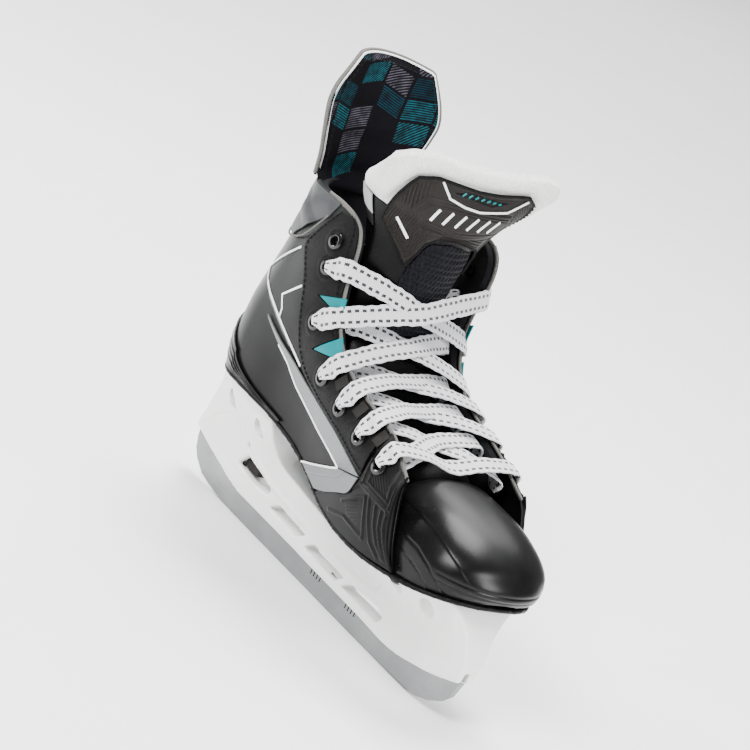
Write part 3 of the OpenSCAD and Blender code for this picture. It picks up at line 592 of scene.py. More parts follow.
def buildWeave(tree, given):
    # over and under threads
    split = node(tree, "ShaderNodeSeparateXYZ")
    tree.links.new(given["Vector"], split.inputs[0])
    a = sine(tree, times(tree, split.outputs[0], given["Scale"]))
    b = sine(tree, times(tree, split.outputs[1], given["Scale"]))
    c = sine(tree, times(tree, split.outputs[2], given["Scale"]))
    both = times(tree, a, b)
    third = times(tree, c, 0.5)
    height = plus(tree, times(tree, both, 0.5), third)
    return {"Height": height}


mouldedEffect = effect("mouldedSurface", [("Vector", vectorKind, None), ("Scale", floatKind, 900.0)],
                       ["Height", "Patches"], buildMoulded)
grainEffect = effect("leatherGrain", [("Vector", vectorKind, None), ("Scale", floatKind, 900.0)],
                     ["Height", "Patches"], buildGrain)
weaveEffect = effect("threadWeave", [("Vector", vectorKind, None), ("Scale", floatKind, 4000.0)],
                     ["Height"], buildWeave)


def newMaterial(name, colour, rough, **values):
    # a material with a Principled shader; values are its sockets, with _ for a space
    material = bpy.data.materials.new(name)
    material.use_nodes = True
    tree = material.node_tree
    shader = tree.nodes["Principled BSDF"]
    shader.inputs["Base Color"].default_value = (*colour, 1)
    shader.inputs["Roughness"].default_value = rough
    for key, value in values.items():
        shader.inputs[key.replace("_", " ")].default_value = value
    return material, tree, shader


def objectPlace(tree):
    return node(tree, "ShaderNodeTexCoord").outputs["Object"]


def uvPlace(tree):
    split = node(tree, "ShaderNodeSeparateXYZ")
    tree.links.new(node(tree, "ShaderNodeUVMap", uv_map="UVMap").outputs[0], split.inputs[0])
    return split.outputs[0], split.outputs[1]


def useEffect(tree, group, place, scale):
    used = node(tree, "ShaderNodeGroup", node_tree=group)
    tree.links.new(place, used.inputs["Vector"])
    used.inputs["Scale"].default_value = scale
    return used.outputs


def bump(tree, shader, height, strength, depth, socket="Normal"):
    made = node(tree, "ShaderNodeBump")
    made.inputs["Strength"].default_value = strength
    made.inputs["Distance"].default_value = depth * mm
    tree.links.new(height, made.inputs["Height"])
    tree.links.new(made.outputs[0], shader.inputs[socket])
    return made


def spreadOf(tree, value, low, high, fromLow=0.3, fromHigh=0.7):
    made = node(tree, "ShaderNodeMapRange")
    tree.links.new(value, made.inputs["Value"])
    for label, number in (("From Min", fromLow), ("From Max", fromHigh), ("To Min", low), ("To Max", high)):
        made.inputs[label].default_value = number
    return made.outputs[0]


def colourBetween(tree, mask, low, high):
    # the two ends may be colours or sockets
    made = node(tree, "ShaderNodeMix", data_type="RGBA")
    tree.links.new(mask, made.inputs["Factor"])
    for index, colour in ((6, low), (7, high)):
        if isinstance(colour, tuple):
            made.inputs[index].default_value = (*colour, 1)
        else:
            tree.links.new(colour, made.inputs[index])
    return made.outputs[2]


def plasticFinish(name, colour, rough, other=None, scale=900, relief=0.03, spreadRough=0.08, **values):
    # moulded plastic or rubber with fine pebbling and slightly uneven gloss
    material, tree, shader = newMaterial(name, colour, rough, **values)
    out = useEffect(tree, mouldedEffect, objectPlace(tree), scale)
    uneven = spreadOf(tree, out["Patches"], rough - spreadRough, rough + spreadRough)
    tree.links.new(uneven, shader.inputs["Roughness"])
    second = other or tuple(c * 1.25 + 0.004 for c in colour)
    patchy = colourBetween(tree, spreadOf(tree, out["Patches"], 0, 1), colour, second)
    tree.links.new(patchy, shader.inputs["Base Color"])
    bump(tree, shader, out["Height"], 0.5, relief)
    return material


def leatherFinish(name, colour, rough, scale=900, relief=0.12):
    material, tree, shader = newMaterial(name, colour, rough, Specular_IOR_Level=0.09)
    out = useEffect(tree, grainEffect, objectPlace(tree), scale)
    grained = colourBetween(tree, out["Height"], tuple(c * 0.5 for c in colour), colour)
    tree.links.new(grained, shader.inputs["Base Color"])
    tree.links.new(spreadOf(tree, out["Patches"], rough - 0.08, rough + 0.08), shader.inputs["Roughness"])
    bump(tree, shader, out["Height"], 0.6, relief)
    return material


def clothFinish(name, colour, rough, scale=3600, relief=0.1, fuzz=900, **values):
    # woven or brushed fabric
    material, tree, shader = newMaterial(name, colour, rough, **values)
    place = objectPlace(tree)
    weave = useEffect(tree, weaveEffect, place, scale)
    soft = useEffect(tree, mouldedEffect, place, fuzz)
    both = plus(tree, times(tree, weave["Height"], 0.35), soft["Height"])
    dark = tuple(c * 0.8 for c in colour)
    patchy = colourBetween(tree, spreadOf(tree, soft["Patches"], 0, 1), dark, colour)
    tree.links.new(patchy, shader.inputs["Base Color"])
    bump(tree, shader, both, 0.7, relief)
    return material


def steelFinish():
    # ground flat steel with two rows of small ticks along the upper edge
    material, tree, shader = newMaterial("groundSteel", (0.25, 0.255, 0.26), 0.34, Metallic=1.0)
    place = objectPlace(tree)
    stretch = node(tree, "ShaderNodeMapping")
    stretch.inputs["Scale"].default_value = (6, 400, 1400)
    tree.links.new(place, stretch.inputs[0])
    lines = node(tree, "ShaderNodeTexNoise")
    lines.inputs["Scale"].default_value = 2.2
    lines.inputs["Detail"].default_value = 6
    tree.links.new(stretch.outputs[0], lines.inputs["Vector"])
    slow = useEffect(tree, mouldedEffect, place, 300)
    split = node(tree, "ShaderNodeSeparateXYZ")
    tree.links.new(place, split.inputs[0])
    x, z = split.outputs[0], split.outputs[2]
    ticks = above(tree, sine(tree, times(tree, x, 2200.0)), 0.55)
    groupA = below(tree, math2(tree, "ABSOLUTE", plus(tree, x, -0.002)), 0.006)
    groupB = below(tree, math2(tree, "ABSOLUTE", plus(tree, x, -0.036)), 0.006)
    band = below(tree, math2(tree, "ABSOLUTE", plus(tree, z, -0.0098)), 0.0016)
    marks = times(tree, times(tree, ticks, math2(tree, "MAXIMUM", groupA, groupB)), band)
    plain = colourBetween(tree, spreadOf(tree, slow["Patches"], 0, 1),
                          (0.2, 0.205, 0.21), (0.27, 0.275, 0.28))
    tree.links.new(colourBetween(tree, marks, plain, (0.02, 0.02, 0.02)), shader.inputs["Base Color"])
    tree.links.new(spreadOf(tree, lines.outputs["Fac"], 0.24, 0.44), shader.inputs["Roughness"])
    bump(tree, shader, lines.outputs["Fac"], 0.25, 0.02)
    return material


def laceFinish():
    # flat braid: slanting ribs across it, painted darker in the troughs between them as painted shade, and two
    # rows of black dashes near one edge
    material, tree, shader = newMaterial("laceBraid", (0.82, 0.82, 0.84), 0.85, Sheen_Weight=0.3)
    run, round_ = uvPlace(tree)
    side = math2(tree, "ABSOLUTE", math2(tree, "SUBTRACT", times(tree, round_, 2.0), 1.0))
    ribs = sine(tree, plus(tree, times(tree, run, 7.2), times(tree, side, 9.0)))
    dash = above(tree, sine(tree, times(tree, run, 1.6)), -0.2)
    rowA = below(tree, math2(tree, "ABSOLUTE", math2(tree, "SUBTRACT", side, 0.41)), 0.045)
    rowB = below(tree, math2(tree, "ABSOLUTE", math2(tree, "SUBTRACT", side, 0.59)), 0.045)
    marks = times(tree, dash, math2(tree, "MAXIMUM", rowA, rowB))
    # painted shade: the braid is darker in the troughs between its ribs, lighter on their crests
    paintedRibShade = colourBetween(tree, spreadOf(tree, ribs, 0, 1, -1, 1), (0.55, 0.55, 0.6), (0.88, 0.88, 0.89))
    tree.links.new(colourBetween(tree, marks, paintedRibShade, (0.01, 0.01, 0.012)), shader.inputs["Base Color"])
    bump(tree, shader, ribs, 0.8, 0.25)
    return material


def guardPrint():
    # black cloth printed with hatched slanting blocks, most of them teal
    material, tree, shader = newMaterial("guardPrint", (0.003, 0.003, 0.004), 0.85, Specular_IOR_Level=0.08)
    place = node(tree, "ShaderNodeTexCoord").outputs["Object"]
    split = node(tree, "ShaderNodeSeparateXYZ")
    tree.links.new(place, split.inputs[0])
    y, z = split.outputs[1], split.outputs[2]
    col = times(tree, y, 62.0)
    slant = times(tree, math2(tree, "PINGPONG", col, 1.0), 0.35)
    row = plus(tree, times(tree, z, 78.0), slant)
    cell = node(tree, "ShaderNodeCombineXYZ")
    tree.links.new(math2(tree, "FLOOR", col), cell.inputs[0])
    tree.links.new(math2(tree, "FLOOR", row), cell.inputs[1])
    chance = node(tree, "ShaderNodeTexWhiteNoise", noise_dimensions="2D")
    tree.links.new(cell.outputs[0], chance.inputs["Vector"])
    value = chance.outputs["Value"]
    inCol = math2(tree, "FRACT", col)
    inRow = math2(tree, "FRACT", row)
    inner = times(tree, times(tree, above(tree, inCol, 0.1),
                                          above(tree, inRow, 0.12)),
                  above(tree, value, 0.45))
    linesA = above(tree, sine(tree, times(tree, row, 62.0)), 0.1)
    linesB = above(tree, sine(tree, times(tree, math2(tree, "SUBTRACT", col, row), 48.0)), 0.2)
    which = above(tree, math2(tree, "FRACT", times(tree, value, 7.0)), 0.5)
    hatch = plus(tree, times(tree, linesA, which),
                  times(tree, linesB, math2(tree, "SUBTRACT", 1.0, which)))
    hatch = times(tree, hatch, inner)
    fade = useEffect(tree, mouldedEffect, place, 260)
    worn = times(tree, hatch, spreadOf(tree, fade["Height"], 0.35, 1.0, 0.35, 0.6))
    teal = colourBetween(tree, math2(tree, "FRACT", times(tree, value, 13.0)),
                         (0.002, 0.02, 0.034), (0.007, 0.1, 0.125))
    pale = above(tree, value, 0.9)
    ink = colourBetween(tree, pale, teal, (0.07, 0.066, 0.085))
    tree.links.new(colourBetween(tree, worn, (0.003, 0.0026, 0.004), ink), shader.inputs["Base Color"])
    soft = useEffect(tree, weaveEffect, place, 5200)
    bump(tree, shader, soft["Height"], 0.5, 0.06)
    return material


def meshFinish():
    # black open mesh over a darker backing
    material, tree, shader = newMaterial("hexMesh", (0.003, 0.003, 0.004), 0.5, Specular_IOR_Level=0.08)
    place = objectPlace(tree)
    cells = node(tree, "ShaderNodeTexVoronoi", feature="DISTANCE_TO_EDGE")
    cells.inputs["Scale"].default_value = 420
    cells.inputs["Randomness"].default_value = 0.25
    tree.links.new(place, cells.inputs["Vector"])
    rim = below(tree, cells.outputs["Distance"], 0.11)
    threads = colourBetween(tree, rim, (0.002, 0.002, 0.003), (0.005, 0.005, 0.008))
    tree.links.new(threads, shader.inputs["Base Color"])
    bump(tree, shader, rim, 0.5, 0.1)
    return material


def feltFinish():
    # thick white felt with loose fibres
    material, tree, shader = newMaterial("whiteFelt", (0.82, 0.81, 0.79), 0.95, Sheen_Weight=0.35,
                                         Subsurface_Weight=0.12, Subsurface_Scale=0.002)
    place = objectPlace(tree)
    soft = useEffect(tree, mouldedEffect, place, 1500)
    fibres = node(tree, "ShaderNodeTexNoise")
    fibres.inputs["Scale"].default_value = 420
    fibres.inputs["Detail"].default_value = 6
    fibres.inputs["Distortion"].default_value = 2.5
    tree.links.new(place, fibres.inputs["Vector"])
    tree.links.new(colourBetween(tree, spreadOf(tree, fibres.outputs["Fac"], 0, 1, 0.35, 0.65),
                                 (0.66, 0.65, 0.63), (0.88, 0.87, 0.85)), shader.inputs["Base Color"])
    both = plus(tree, times(tree, soft["Height"], 0.5), fibres.outputs["Fac"])
    bump(tree, shader, both, 0.7, 0.5)
    return material


def silverFinish():
    # silver film, ribbed across the strip, the rib crests painted lighter as painted highlights and the
    # troughs darker as painted shade
    material, tree, shader = newMaterial("silverStrip", (0.2, 0.21, 0.22), 0.38, Metallic=0.35)
    along_, across = uvPlace(tree)
    ribs = sine(tree, times(tree, along_, 620.0))
    # painted light: lighter colour on the rib crests as painted highlight, darker in the troughs as painted
    # shade
    paintedRibHighlight = spreadOf(tree, ribs, 0, 1, -0.6, 0.8)
    tree.links.new(colourBetween(tree, paintedRibHighlight, (0.1, 0.105, 0.11), (0.22, 0.23, 0.235)),
                   shader.inputs["Base Color"])
    bump(tree, shader, ribs, 0.6, 0.12)
    return material


def shellFinish():
    # dark glossy laminate with fine slanting threads under the gloss; the colour is painted paler grey-green
    # towards the top and back as painted sheen from above, near black lower down
    material, tree, shader = newMaterial("shellLaminate", (0.05, 0.055, 0.052), 0.3, Specular_IOR_Level=0.07)
    place = objectPlace(tree)
    split = node(tree, "ShaderNodeSeparateXYZ")
    tree.links.new(place, split.inputs[0])
    x, z = split.outputs[0], split.outputs[2]
    slant = plus(tree, times(tree, x, 5200.0), times(tree, z, 2600.0))
    threads = sine(tree, slant)
    slow = useEffect(tree, mouldedEffect, place, 700)
    # painted light: the shell grows paler towards the top and back, a painted sheen in place of light from
    # above
    height = math2(tree, "SUBTRACT", z, times(tree, x, 0.9))
    pale = colourBetween(tree, spreadOf(tree, slow["Patches"], 0, 1),
                         (0.02, 0.023, 0.021), (0.03, 0.034, 0.032))
    base = colourBetween(tree, spreadOf(tree, height, 0, 1, 0.15, 0.26), (0.002, 0.002, 0.002), pale)
    woven = colourBetween(tree, spreadOf(tree, threads, 0, 0.3, -1, 1), base, (0.006, 0.0065, 0.0063))
    tree.links.new(woven, shader.inputs["Base Color"])
    tree.links.new(spreadOf(tree, slow["Patches"], 0.24, 0.38), shader.inputs["Roughness"])
    bump(tree, shader, threads, 0.15, 0.03)
    return material


finishes = dict(
    steel=steelFinish(),
    holder=plasticFinish("holderPlastic", (0.78, 0.78, 0.765), 0.34, (0.84, 0.84, 0.83), 700, 0.03,
                         Subsurface_Weight=0.1, Subsurface_Scale=0.003),
    lever=plasticFinish("leverPlastic", (0.008, 0.006, 0.005), 0.5, Specular_IOR_Level=0.12),
    hardware=plasticFinish("plainMetal", (0.35, 0.35, 0.35), 0.35, Metallic=1.0),
    rivet=plasticFinish("rivetMetal", (0.012, 0.012, 0.012), 0.4, Metallic=0.5),
    gloss=leatherFinish("glossLeather", (0.002, 0.002, 0.0022), 0.3, 700, 0.05),
    sole=plasticFinish("solePlastic", (0.003, 0.003, 0.0032), 0.35, scale=600, relief=0.04,
                       Specular_IOR_Level=0.08),
    board=clothFinish("pressedBoard", (0.3, 0.22, 0.14), 0.9),
    footbed=clothFinish("footbedFoam", (0.012, 0.07, 0.08), 0.85),
    shell=shellFinish(),
    lining=clothFinish("liningCloth", (0.004, 0.004, 0.005), 0.9, Specular_IOR_Level=0.1, Sheen_Weight=0.04),
    counter=plasticFinish("counterPlastic", (0.002, 0.002, 0.0022), 0.26, scale=500, relief=0.03,
                          Specular_IOR_Level=0.12),
    toe=plasticFinish("toePlastic", (0.0015, 0.0015, 0.0016), 0.3, scale=420, relief=0.035,
                      spreadRough=0.05, Specular_IOR_Level=0.16),
    rubber=plasticFinish("guardRubber", (0.002, 0.002, 0.0021), 0.42, scale=1100, relief=0.05,
                         Specular_IOR_Level=0.09),
    collar=plasticFinish("collarPlastic", (0.03, 0.032, 0.034), 0.42, scale=800, relief=0.05,
                         Specular_IOR_Level=0.18),
    eyestay=leatherFinish("eyestayLeather", (0.004, 0.004, 0.0042), 0.45, 1500, 0.12),
    teal=plasticFinish("tealPlastic", (0.0, 0.15, 0.165), 0.3, (0.0, 0.17, 0.185), Specular_IOR_Level=0.15),
    silver=silverFinish(),
    white=plasticFinish("whitePiping", (0.75, 0.76, 0.76), 0.35),
    binding=leatherFinish("edgeBinding", (0.16, 0.155, 0.145), 0.6, 1600),
    blackBinding=leatherFinish("blackBinding", (0.004, 0.004, 0.004), 0.45, 1600),
    thread=clothFinish("blackThread", (0.002, 0.002, 0.002), 0.7, Specular_IOR_Level=0.15),
    greyWeb=clothFinish("greyWebbing", (0.016, 0.015, 0.014), 0.6, 5200, 0.2, Specular_IOR_Level=0.1),
    tendon=leatherFinish("tendonShell", (0.012, 0.012, 0.013), 0.5, 1200),
    guardLining=guardPrint(),
    felt=feltFinish(),
    badge=plasticFinish("badgeRubber", (0.009, 0.0078, 0.007), 0.42, (0.014, 0.0122, 0.011), 900, 0.05,
                        Specular_IOR_Level=0.12),
    mesh=meshFinish(),
    label=clothFinish("wovenLabel", (0.3, 0.31, 0.31), 0.7, 7000, 0.05),
    ink=plasticFinish("blackInk", (0.002, 0.002, 0.002), 0.5, Specular_IOR_Level=0.2),
    eyelet=plasticFinish("eyeletEnamel", (0.003, 0.003, 0.003), 0.18, relief=0.02),
    lace=laceFinish(),
)
print("materials made")


# runner, holder, fittings
def paint(nodeName, material):
    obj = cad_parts[nodeName]
    obj.data.materials.clear()
    obj.data.materials.append(material)
    for face in obj.data.polygons:
        face.material_index = 0
    return obj


holderLook = dict(voxel=0.75, smooth=5,
                  ridges=[([[-88, 60], [-82, 52], [-74, 43], [-64, 36], [-50, 31.8], [-30, 29.8],
                            [-5, 28.4],
                            [20, 27.2], [42, 28], [58, 32], [66, 40]], 0.8, 2.4),
                          ([[118, 61], [119, 48], [121, 36], [125, 27]], 0.7, 2.6),
                          ([[109, 59], [111, 46], [114, 34], [120, 24]], 0.6, 2.6)],
                  grooves=[([[-127, 30], [-116, 40], [-106, 46], [-94, 47]], 0.35, 1.3),
                           ([[-100, 68], [-94, 56], [-88, 47], [-87, 40]], 0.35, 1.3),
                           ([[-124, 27], [-96, 23.5], [-60, 21], [-52, 17]], 0.25, 1.2)])


def makeHolder():
    holder = moulded("blade_holder", "bladeHolder", holderLook["voxel"], holderLook["smooth"])
    mesh = holder.data
    count = len(mesh.vertices)
    co, normal = np.zeros(count * 3), np.zeros(count * 3)
    mesh.vertices.foreach_get("co", co)
    mesh.vertices.foreach_get("normal", normal)
    co, normal = co.reshape(-1, 3) / mm, normal.reshape(-1, 3)
    p = co[:, [0, 2]]
    rise = np.zeros(count)
    for line, height, reach in holderLook["ridges"]:
        rise += height * nearLine(p, line, reach)
    for line, depth, reach in holderLook["grooves"]:
        rise -= depth * nearLine(p, line, reach)
    faces_ = np.clip((np.abs(normal[:, 1]) - 0.35) / 0.3, 0, 1) * (np.abs(co[:, 1]) > 3)
    co += normal * (rise * faces_)[:, None]
    mesh.vertices.foreach_set("co", (co * mm).ravel())
    mesh.update()
    finishPiece(holder, finishes["holder"], "boot", 60, ["blade_holder"])


makeHolder()
paint("runner", finishes["steel"])
paint("trigger", finishes["lever"])
for name in ("trigger_pin", "trigger_spring", "rivet_washers"):
    paint(name, finishes["hardware"])
for name in ("rivets_front", "rivets_rear"):
    paint(name, finishes["rivet"])
for name in ("eyelets_outer", "eyelets_inner"):
    paint(name, finishes["eyelet"])
    activate(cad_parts[name])
    bpy.ops.object.shade_smooth_by_angle(angle=math.radians(50))
deselect()
print("holder and fittings made")

# sole plates
for name, piece, voxel, finish, slot in (
        ("outsole", "outsolePlate", 0.8, "sole", "sole"),
        ("insole_board", "insoleBoard", 1.1, "board", "board"),
        ("footbed", "footbedFoam", 1.0, "footbed", "footbed"),
        ("toe_lining", "toeLining", 0.8, "lining", "lining")):
    finishPiece(moulded(name, piece, voxel, 4), finishes[finish], "boot", 50, [name])
print("sole plates made")

# shell and lining
sides = ("outer", "inner")


def makeShell(side):
    def shape(u, v):
        p = bootPlan(u, v)
        return onBoot(p, 0 * u, side)
    shell = skin("quarter" + side.capitalize(), 170, 84, shape, layers["shell"], outOfHeel(side), 0.3)
    cutHoles(shell, side)
    finishPiece(shell, finishes["shell"], "boot", 40, ["quarter_" + side])


def makeLining(side):
    deep = layers["shell"] + layers["gap"]

    def shape(u, v):
        p = bootPlan(u, v, front=0.87, drop=0.4, foot=0.3)
        return onBoot(p, 0 * u - deep, side)
    lining = skin("lining" + side.capitalize(), 110, 56, shape, layers["lining"], outOfHeel(side), 1.1, 3)
    cutHoles(lining, side)
    finishPiece(lining, finishes["lining"], "boot", 50, ["lining_" + side])


for side in sides:
    makeShell(side)
    makeLining(side)
print("shell and lining made")

# trim on the shell
counterLook = dict(low=[[-121, 75.2], [-112, 75.2], [-98, 75.2], [-78, 75.2], [-54, 74.6], [-41, 73.4]],
                   edge=[[-124, 108], [-113, 99], [-97, 90], [-76, 83], [-52, 77.4], [-40, 74.8]])


def makeCounter(side):
    def plan(u, v):
        low, edge = along(counterLook["low"], u), along(counterLook["edge"], u)
        p = mix(low, edge, v[:, None])
        # the rear columns follow the round of the heel
        turn = np.radians(mix(0.5, 90, np.clip(u / 0.45, 0, 1)))
        z = p[:, 1]
        rear = heelX(z) + (-95 - heelX(z)) * (1 - np.cos(turn))
        ahead = mix(-95, p[:, 0], np.clip((u - 0.45) / 0.55, 0, 1))
        return np.stack([np.where(u < 0.45, rear, ahead), z], -1)

    def relief(u, v, p):
        ribs = sum(0.45 * np.exp(-((v - c) / 0.05) ** 2) for c in (0.3, 0.52, 0.74))
        return ribs * ramp(0.05, 0.2, u) * (1 - ramp(0.8, 0.98, u))
    piece = patch("heelCounter", side, 150, 40, plan, trimLow, trimHigh, relief, 0.25)
    replaced = ["heel_counter"] if side == "outer" else ()
    return finishPiece(piece, finishes["counter"], "boot", 50, replaced)


collarLook = dict(low=[[-104, 158], [-96, 157], [-88, 158.5], [-80, 161.5], [-74, 165.5],
                       [-67.5, 172.5], [-61, 181.5]],
                  high=[[-103, 189.6], [-96, 189.7], [-88, 189.8], [-80, 190], [-72, 190],
                        [-65, 190.2], [-57.5, 190.2]],
                  folds=[[[-104, 187], [-88, 175], [-66, 186]], [[-103, 161], [-88, 175], [-72, 169]]])


def makeCollar(side):
    def plan(u, v):
        p = between(collarLook["low"], collarLook["high"])(u, v)
        z = p[:, 1]
        turn = np.radians(mix(0.5, 90, np.clip(u / 0.4, 0, 1)))
        rear = heelX(z) + (-88 - heelX(z)) * (1 - np.cos(turn))
        ahead = mix(-88, p[:, 0], np.clip((u - 0.4) / 0.6, 0, 1))
        return np.stack([np.where(u < 0.4, rear, ahead), z], -1)

    def relief(u, v, p):
        fold = sum(0.9 * nearLine(p, line, 7) for line in collarLook["folds"])
        return fold - 0.35
    piece = patch("collar", side, 110, 60, plan, trimLow, trimHigh, relief, 0.3)
    finishPiece(piece, finishes["collar"], "boot", 50, ["collar_" + side])
    lip = surfaceTube("collarEdge", side, collarLook["low"], trimHigh + 0.1, 0.5, 0.5)
    finishPiece(lip, finishes["binding"], "boot", 60)


eyestayRear = [[-54, 187], [-59, 180], [-66, 170], [-70.5, 162], [-66, 156.5], [-59.5, 150.5], [-54.5, 143],
               [-49.5, 132.5], [-44, 123], [-37, 114.5], [-27, 108.2], [-14, 104], [2, 100.2], [18, 96.6],
               [33, 92.6], [47, 89.2]]
eyestayFront = along(facingTop, mix(0.15, 0.843, np.linspace(0, 1, 16)))
notches = dict(up=[[-41, 146], [-22, 153.5], [-18.5, 143]], down=[[-27, 121.5], [-12, 137], [-4, 126]])


def prism(corners, side):
    # a straight cutter through one side of the boot
    corners = np.array(corners, float)
    shift = spread(corners, side)
    corners = corners + shift[:, [0, 2]]
    sign = -1 if side == "outer" else 1
    near, far = 15 * sign, 80 * sign
    points = [(x * mm, y * mm, z * mm) for y in (near, far) for x, z in corners]
    n = len(corners)
    faces = [tuple(range(n)), tuple(range(2 * n - 1, n - 1, -1))]
    faces += [(i, i + n, (i + 1) % n + n, (i + 1) % n) for i in range(n)]
    return inEditMode(objectFrom("cutter", points, faces), outwards)


def makeEyestay(side):
    def plan(u, v):
        return between(eyestayRear, eyestayFront)(u, v * 0.985)

    def relief(u, v, p):
        rings = np.zeros(len(p))
        for at in eyeletAt:
            far = np.linalg.norm(p - at, axis=1)
            rings += 0.35 * np.exp(-((far - 6.6) / 0.8) ** 2)
        return rings
    piece = patch("eyestay", side, 190, 40, plan, trimLow, trimHigh, relief, 0.2)
    cutHoles(piece, side)
    for corners in notches.values():
        cutter = prism(corners, side)
        modify(piece, "BOOLEAN", operation="DIFFERENCE", object=cutter, solver="EXACT")
        bpy.data.objects.remove(cutter)
    finishPiece(piece, finishes["eyestay"], "boot", 40, ["eyestay_" + side])
    # stitched rows along both edges; the free edge gets its lighter binding strip in makePiping
    rearSeam = [mix(np.array(a), np.array(b), 0.07) for a, b in zip(eyestayRear, eyestayFront)]
    seam = seamOnBoot("eyestaySeam", side, rearSeam, trimHigh + 0.15)
    finishPiece(seam, finishes["thread"], "boot", 60)
    frontSeam = [mix(np.array(b), np.array(a), 0.12) for a, b in zip(eyestayRear[:15], eyestayFront[:15])]
    seam = seamOnBoot("facingSeam", side, frontSeam, trimHigh + 0.15)
    finishPiece(seam, finishes["thread"], "boot", 60)


def makeNotchInserts(side):
    for label, corners in notches.items():
        corners = np.array(corners, float)
        middle = corners.mean(0)
        tip, up, low = (mix(middle, c, 0.9) for c in corners)

        def plan(u, v):
            far = mix(up, low, v[:, None])
            return mix(tip, far, (0.03 + 0.97 * u)[:, None])
        piece = patch("notchInsert" + label.capitalize(), side, 30, 24, plan, trimLow, trimLow + 0.6,
                      lambda u, v, p: 0.25 * np.exp(-((u - 0.9) / 0.05) ** 2), 0.12)
        finishPiece(piece, finishes["teal"], "boot", 50,
                    ["notch_inserts_" + side] if label == "up" else ())


accentLook = dict(
    downTop=[[-78, 117], [-58, 111.5], [-42, 108.5], [-30, 106], [-16, 103], [2, 99.1], [18, 95.5],
             [33, 91.5], [46, 88]],
    downLow=[[-76, 115.6], [-58, 109], [-44, 104.5], [-32, 98.5], [-18, 94], [-2, 89.4], [12, 86.4],
             [22, 84.2], [27, 83.2]],
    backTop=[[-9, 67.4], [2, 71.6], [13, 76.2], [21, 79.6], [27.2, 82.6]],
    backLow=[[10.5, 62.4], [21, 66.2], [33, 72.2], [42.5, 77.4], [46.2, 87.2]])


def makeAccent(side):
    look = accentLook
    band = between(look["downLow"], look["downTop"])
    down = patch("stripDown", side, 160, 16, band, trimLow, trimHigh, None, 0.2)
    finishPiece(down, finishes["silver"], "boot", 50, ["accent_" + side])
    back = patch("stripBack", side, 90, 40, between(look["backLow"], look["backTop"]), trimLow, trimHigh,
                 lambda u, v, p: 0.3 * (np.abs(v - 0.62) < 0.03), 0.2)
    finishPiece(back, finishes["silver"], "boot", 50)
    inner = look["downLow"][1:] + look["backTop"][::-1]
    edge = surfaceTube("stripEdge", side, inner, trimHigh + 0.05, 0.55, 0.35, corners=True)
    finishPiece(edge, finishes["white"], "boot", 60)


guardLook = dict(
    low=[[13, 61.6], [24, 59.2], [36, 57.6], [46, 57.2], [54, 57.4], [62, 58], [74, 59.2], [91, 61.6]],
    high=[[15, 62.9], [28, 68.9], [43.4, 76.8], [47.6, 84], [48.6, 97], [46.8, 113.2], [58, 108.4],
          [72.5, 101.8]],
    kites=[[[48.5, 118], [51.3, 87.1], [76, 85.4], [70, 106]],
           [[52, 112], [55.1, 90.1], [72.2, 88.8], [67, 103]]],
    bars=[[[51, 86.4], [77, 84.6]], [[60.5, 84.5], [65.2, 76], [72.3, 66.4], [80, 62.6]],
          [[75.7, 84], [78, 76.8], [83, 70.1], [88.5, 64.5]],
          [[67.1, 83], [71, 75.1], [76.5, 68.7], [84, 63.8]],
          [[72, 83], [75, 75], [80, 69], [86, 64]], [[40.7, 72], [57.5, 83], [66, 66]],
          [[44, 79], [50, 86]], [[30.7, 61.5], [46, 66], [66, 65]]])


def makeForefootGuard(side):
    look = guardLook

    def relief(u, v, p):
        rise = np.zeros(len(p))
        for line in look["kites"]:
            rise += 0.7 * nearLine(p, line + line[:1], 1.2)
        for line in look["bars"]:
            rise += 0.75 * nearLine(p, line, 1.5)
        kite = inside(p, look["kites"][1])
        hatch = 0.35 * (0.5 + 0.5 * np.sin((p[:, 0] * 0.8 + p[:, 1]) * 3.2))
        triangle = inside(p, [[42, 73], [57, 82], [65, 67.5], [48, 67.5]])
        hatchTwo = 0.3 * (0.5 + 0.5 * np.sin((p[:, 1] - p[:, 0] * 0.5) * 3.4))
        eyelet = np.linalg.norm(p - eyeletAt[-1], axis=1)
        flat = ramp(4.5, 6.0, eyelet)
        return (rise + np.where(kite < -0.8, hatch, 0) + np.where(triangle < -0.8, hatchTwo, 0)) * flat * 0.8
    cover = between(look["low"], look["high"])
    piece = patch("forefootGuard", side, 150, 110, cover, trimLow, trimHigh, relief, 0.25)
    cutHoles(piece, side)
    finishPiece(piece, finishes["rubber"], "boot", 30, ["forefoot_guard_" + side])
    front = [[73.5, 103], [75.5, 92], [80, 80], [85.5, 70], [92.5, 61.8]]
    edge = surfaceTube("guardEdge", side, front, trimHigh, 0.6, 0.7)
    finishPiece(edge, finishes["blackBinding"], "boot", 60)


pipingLook = dict(
    long=[[-74.5, 158], [-104, 134.5], [-86, 126], [-34, 108.5]],
    longInner=[[-76, 156], [-101.5, 135], [-84, 124], [-50, 112.5]],
    short=[[-56, 144], [-73, 131], [-68, 125], [-68, 119.5]])


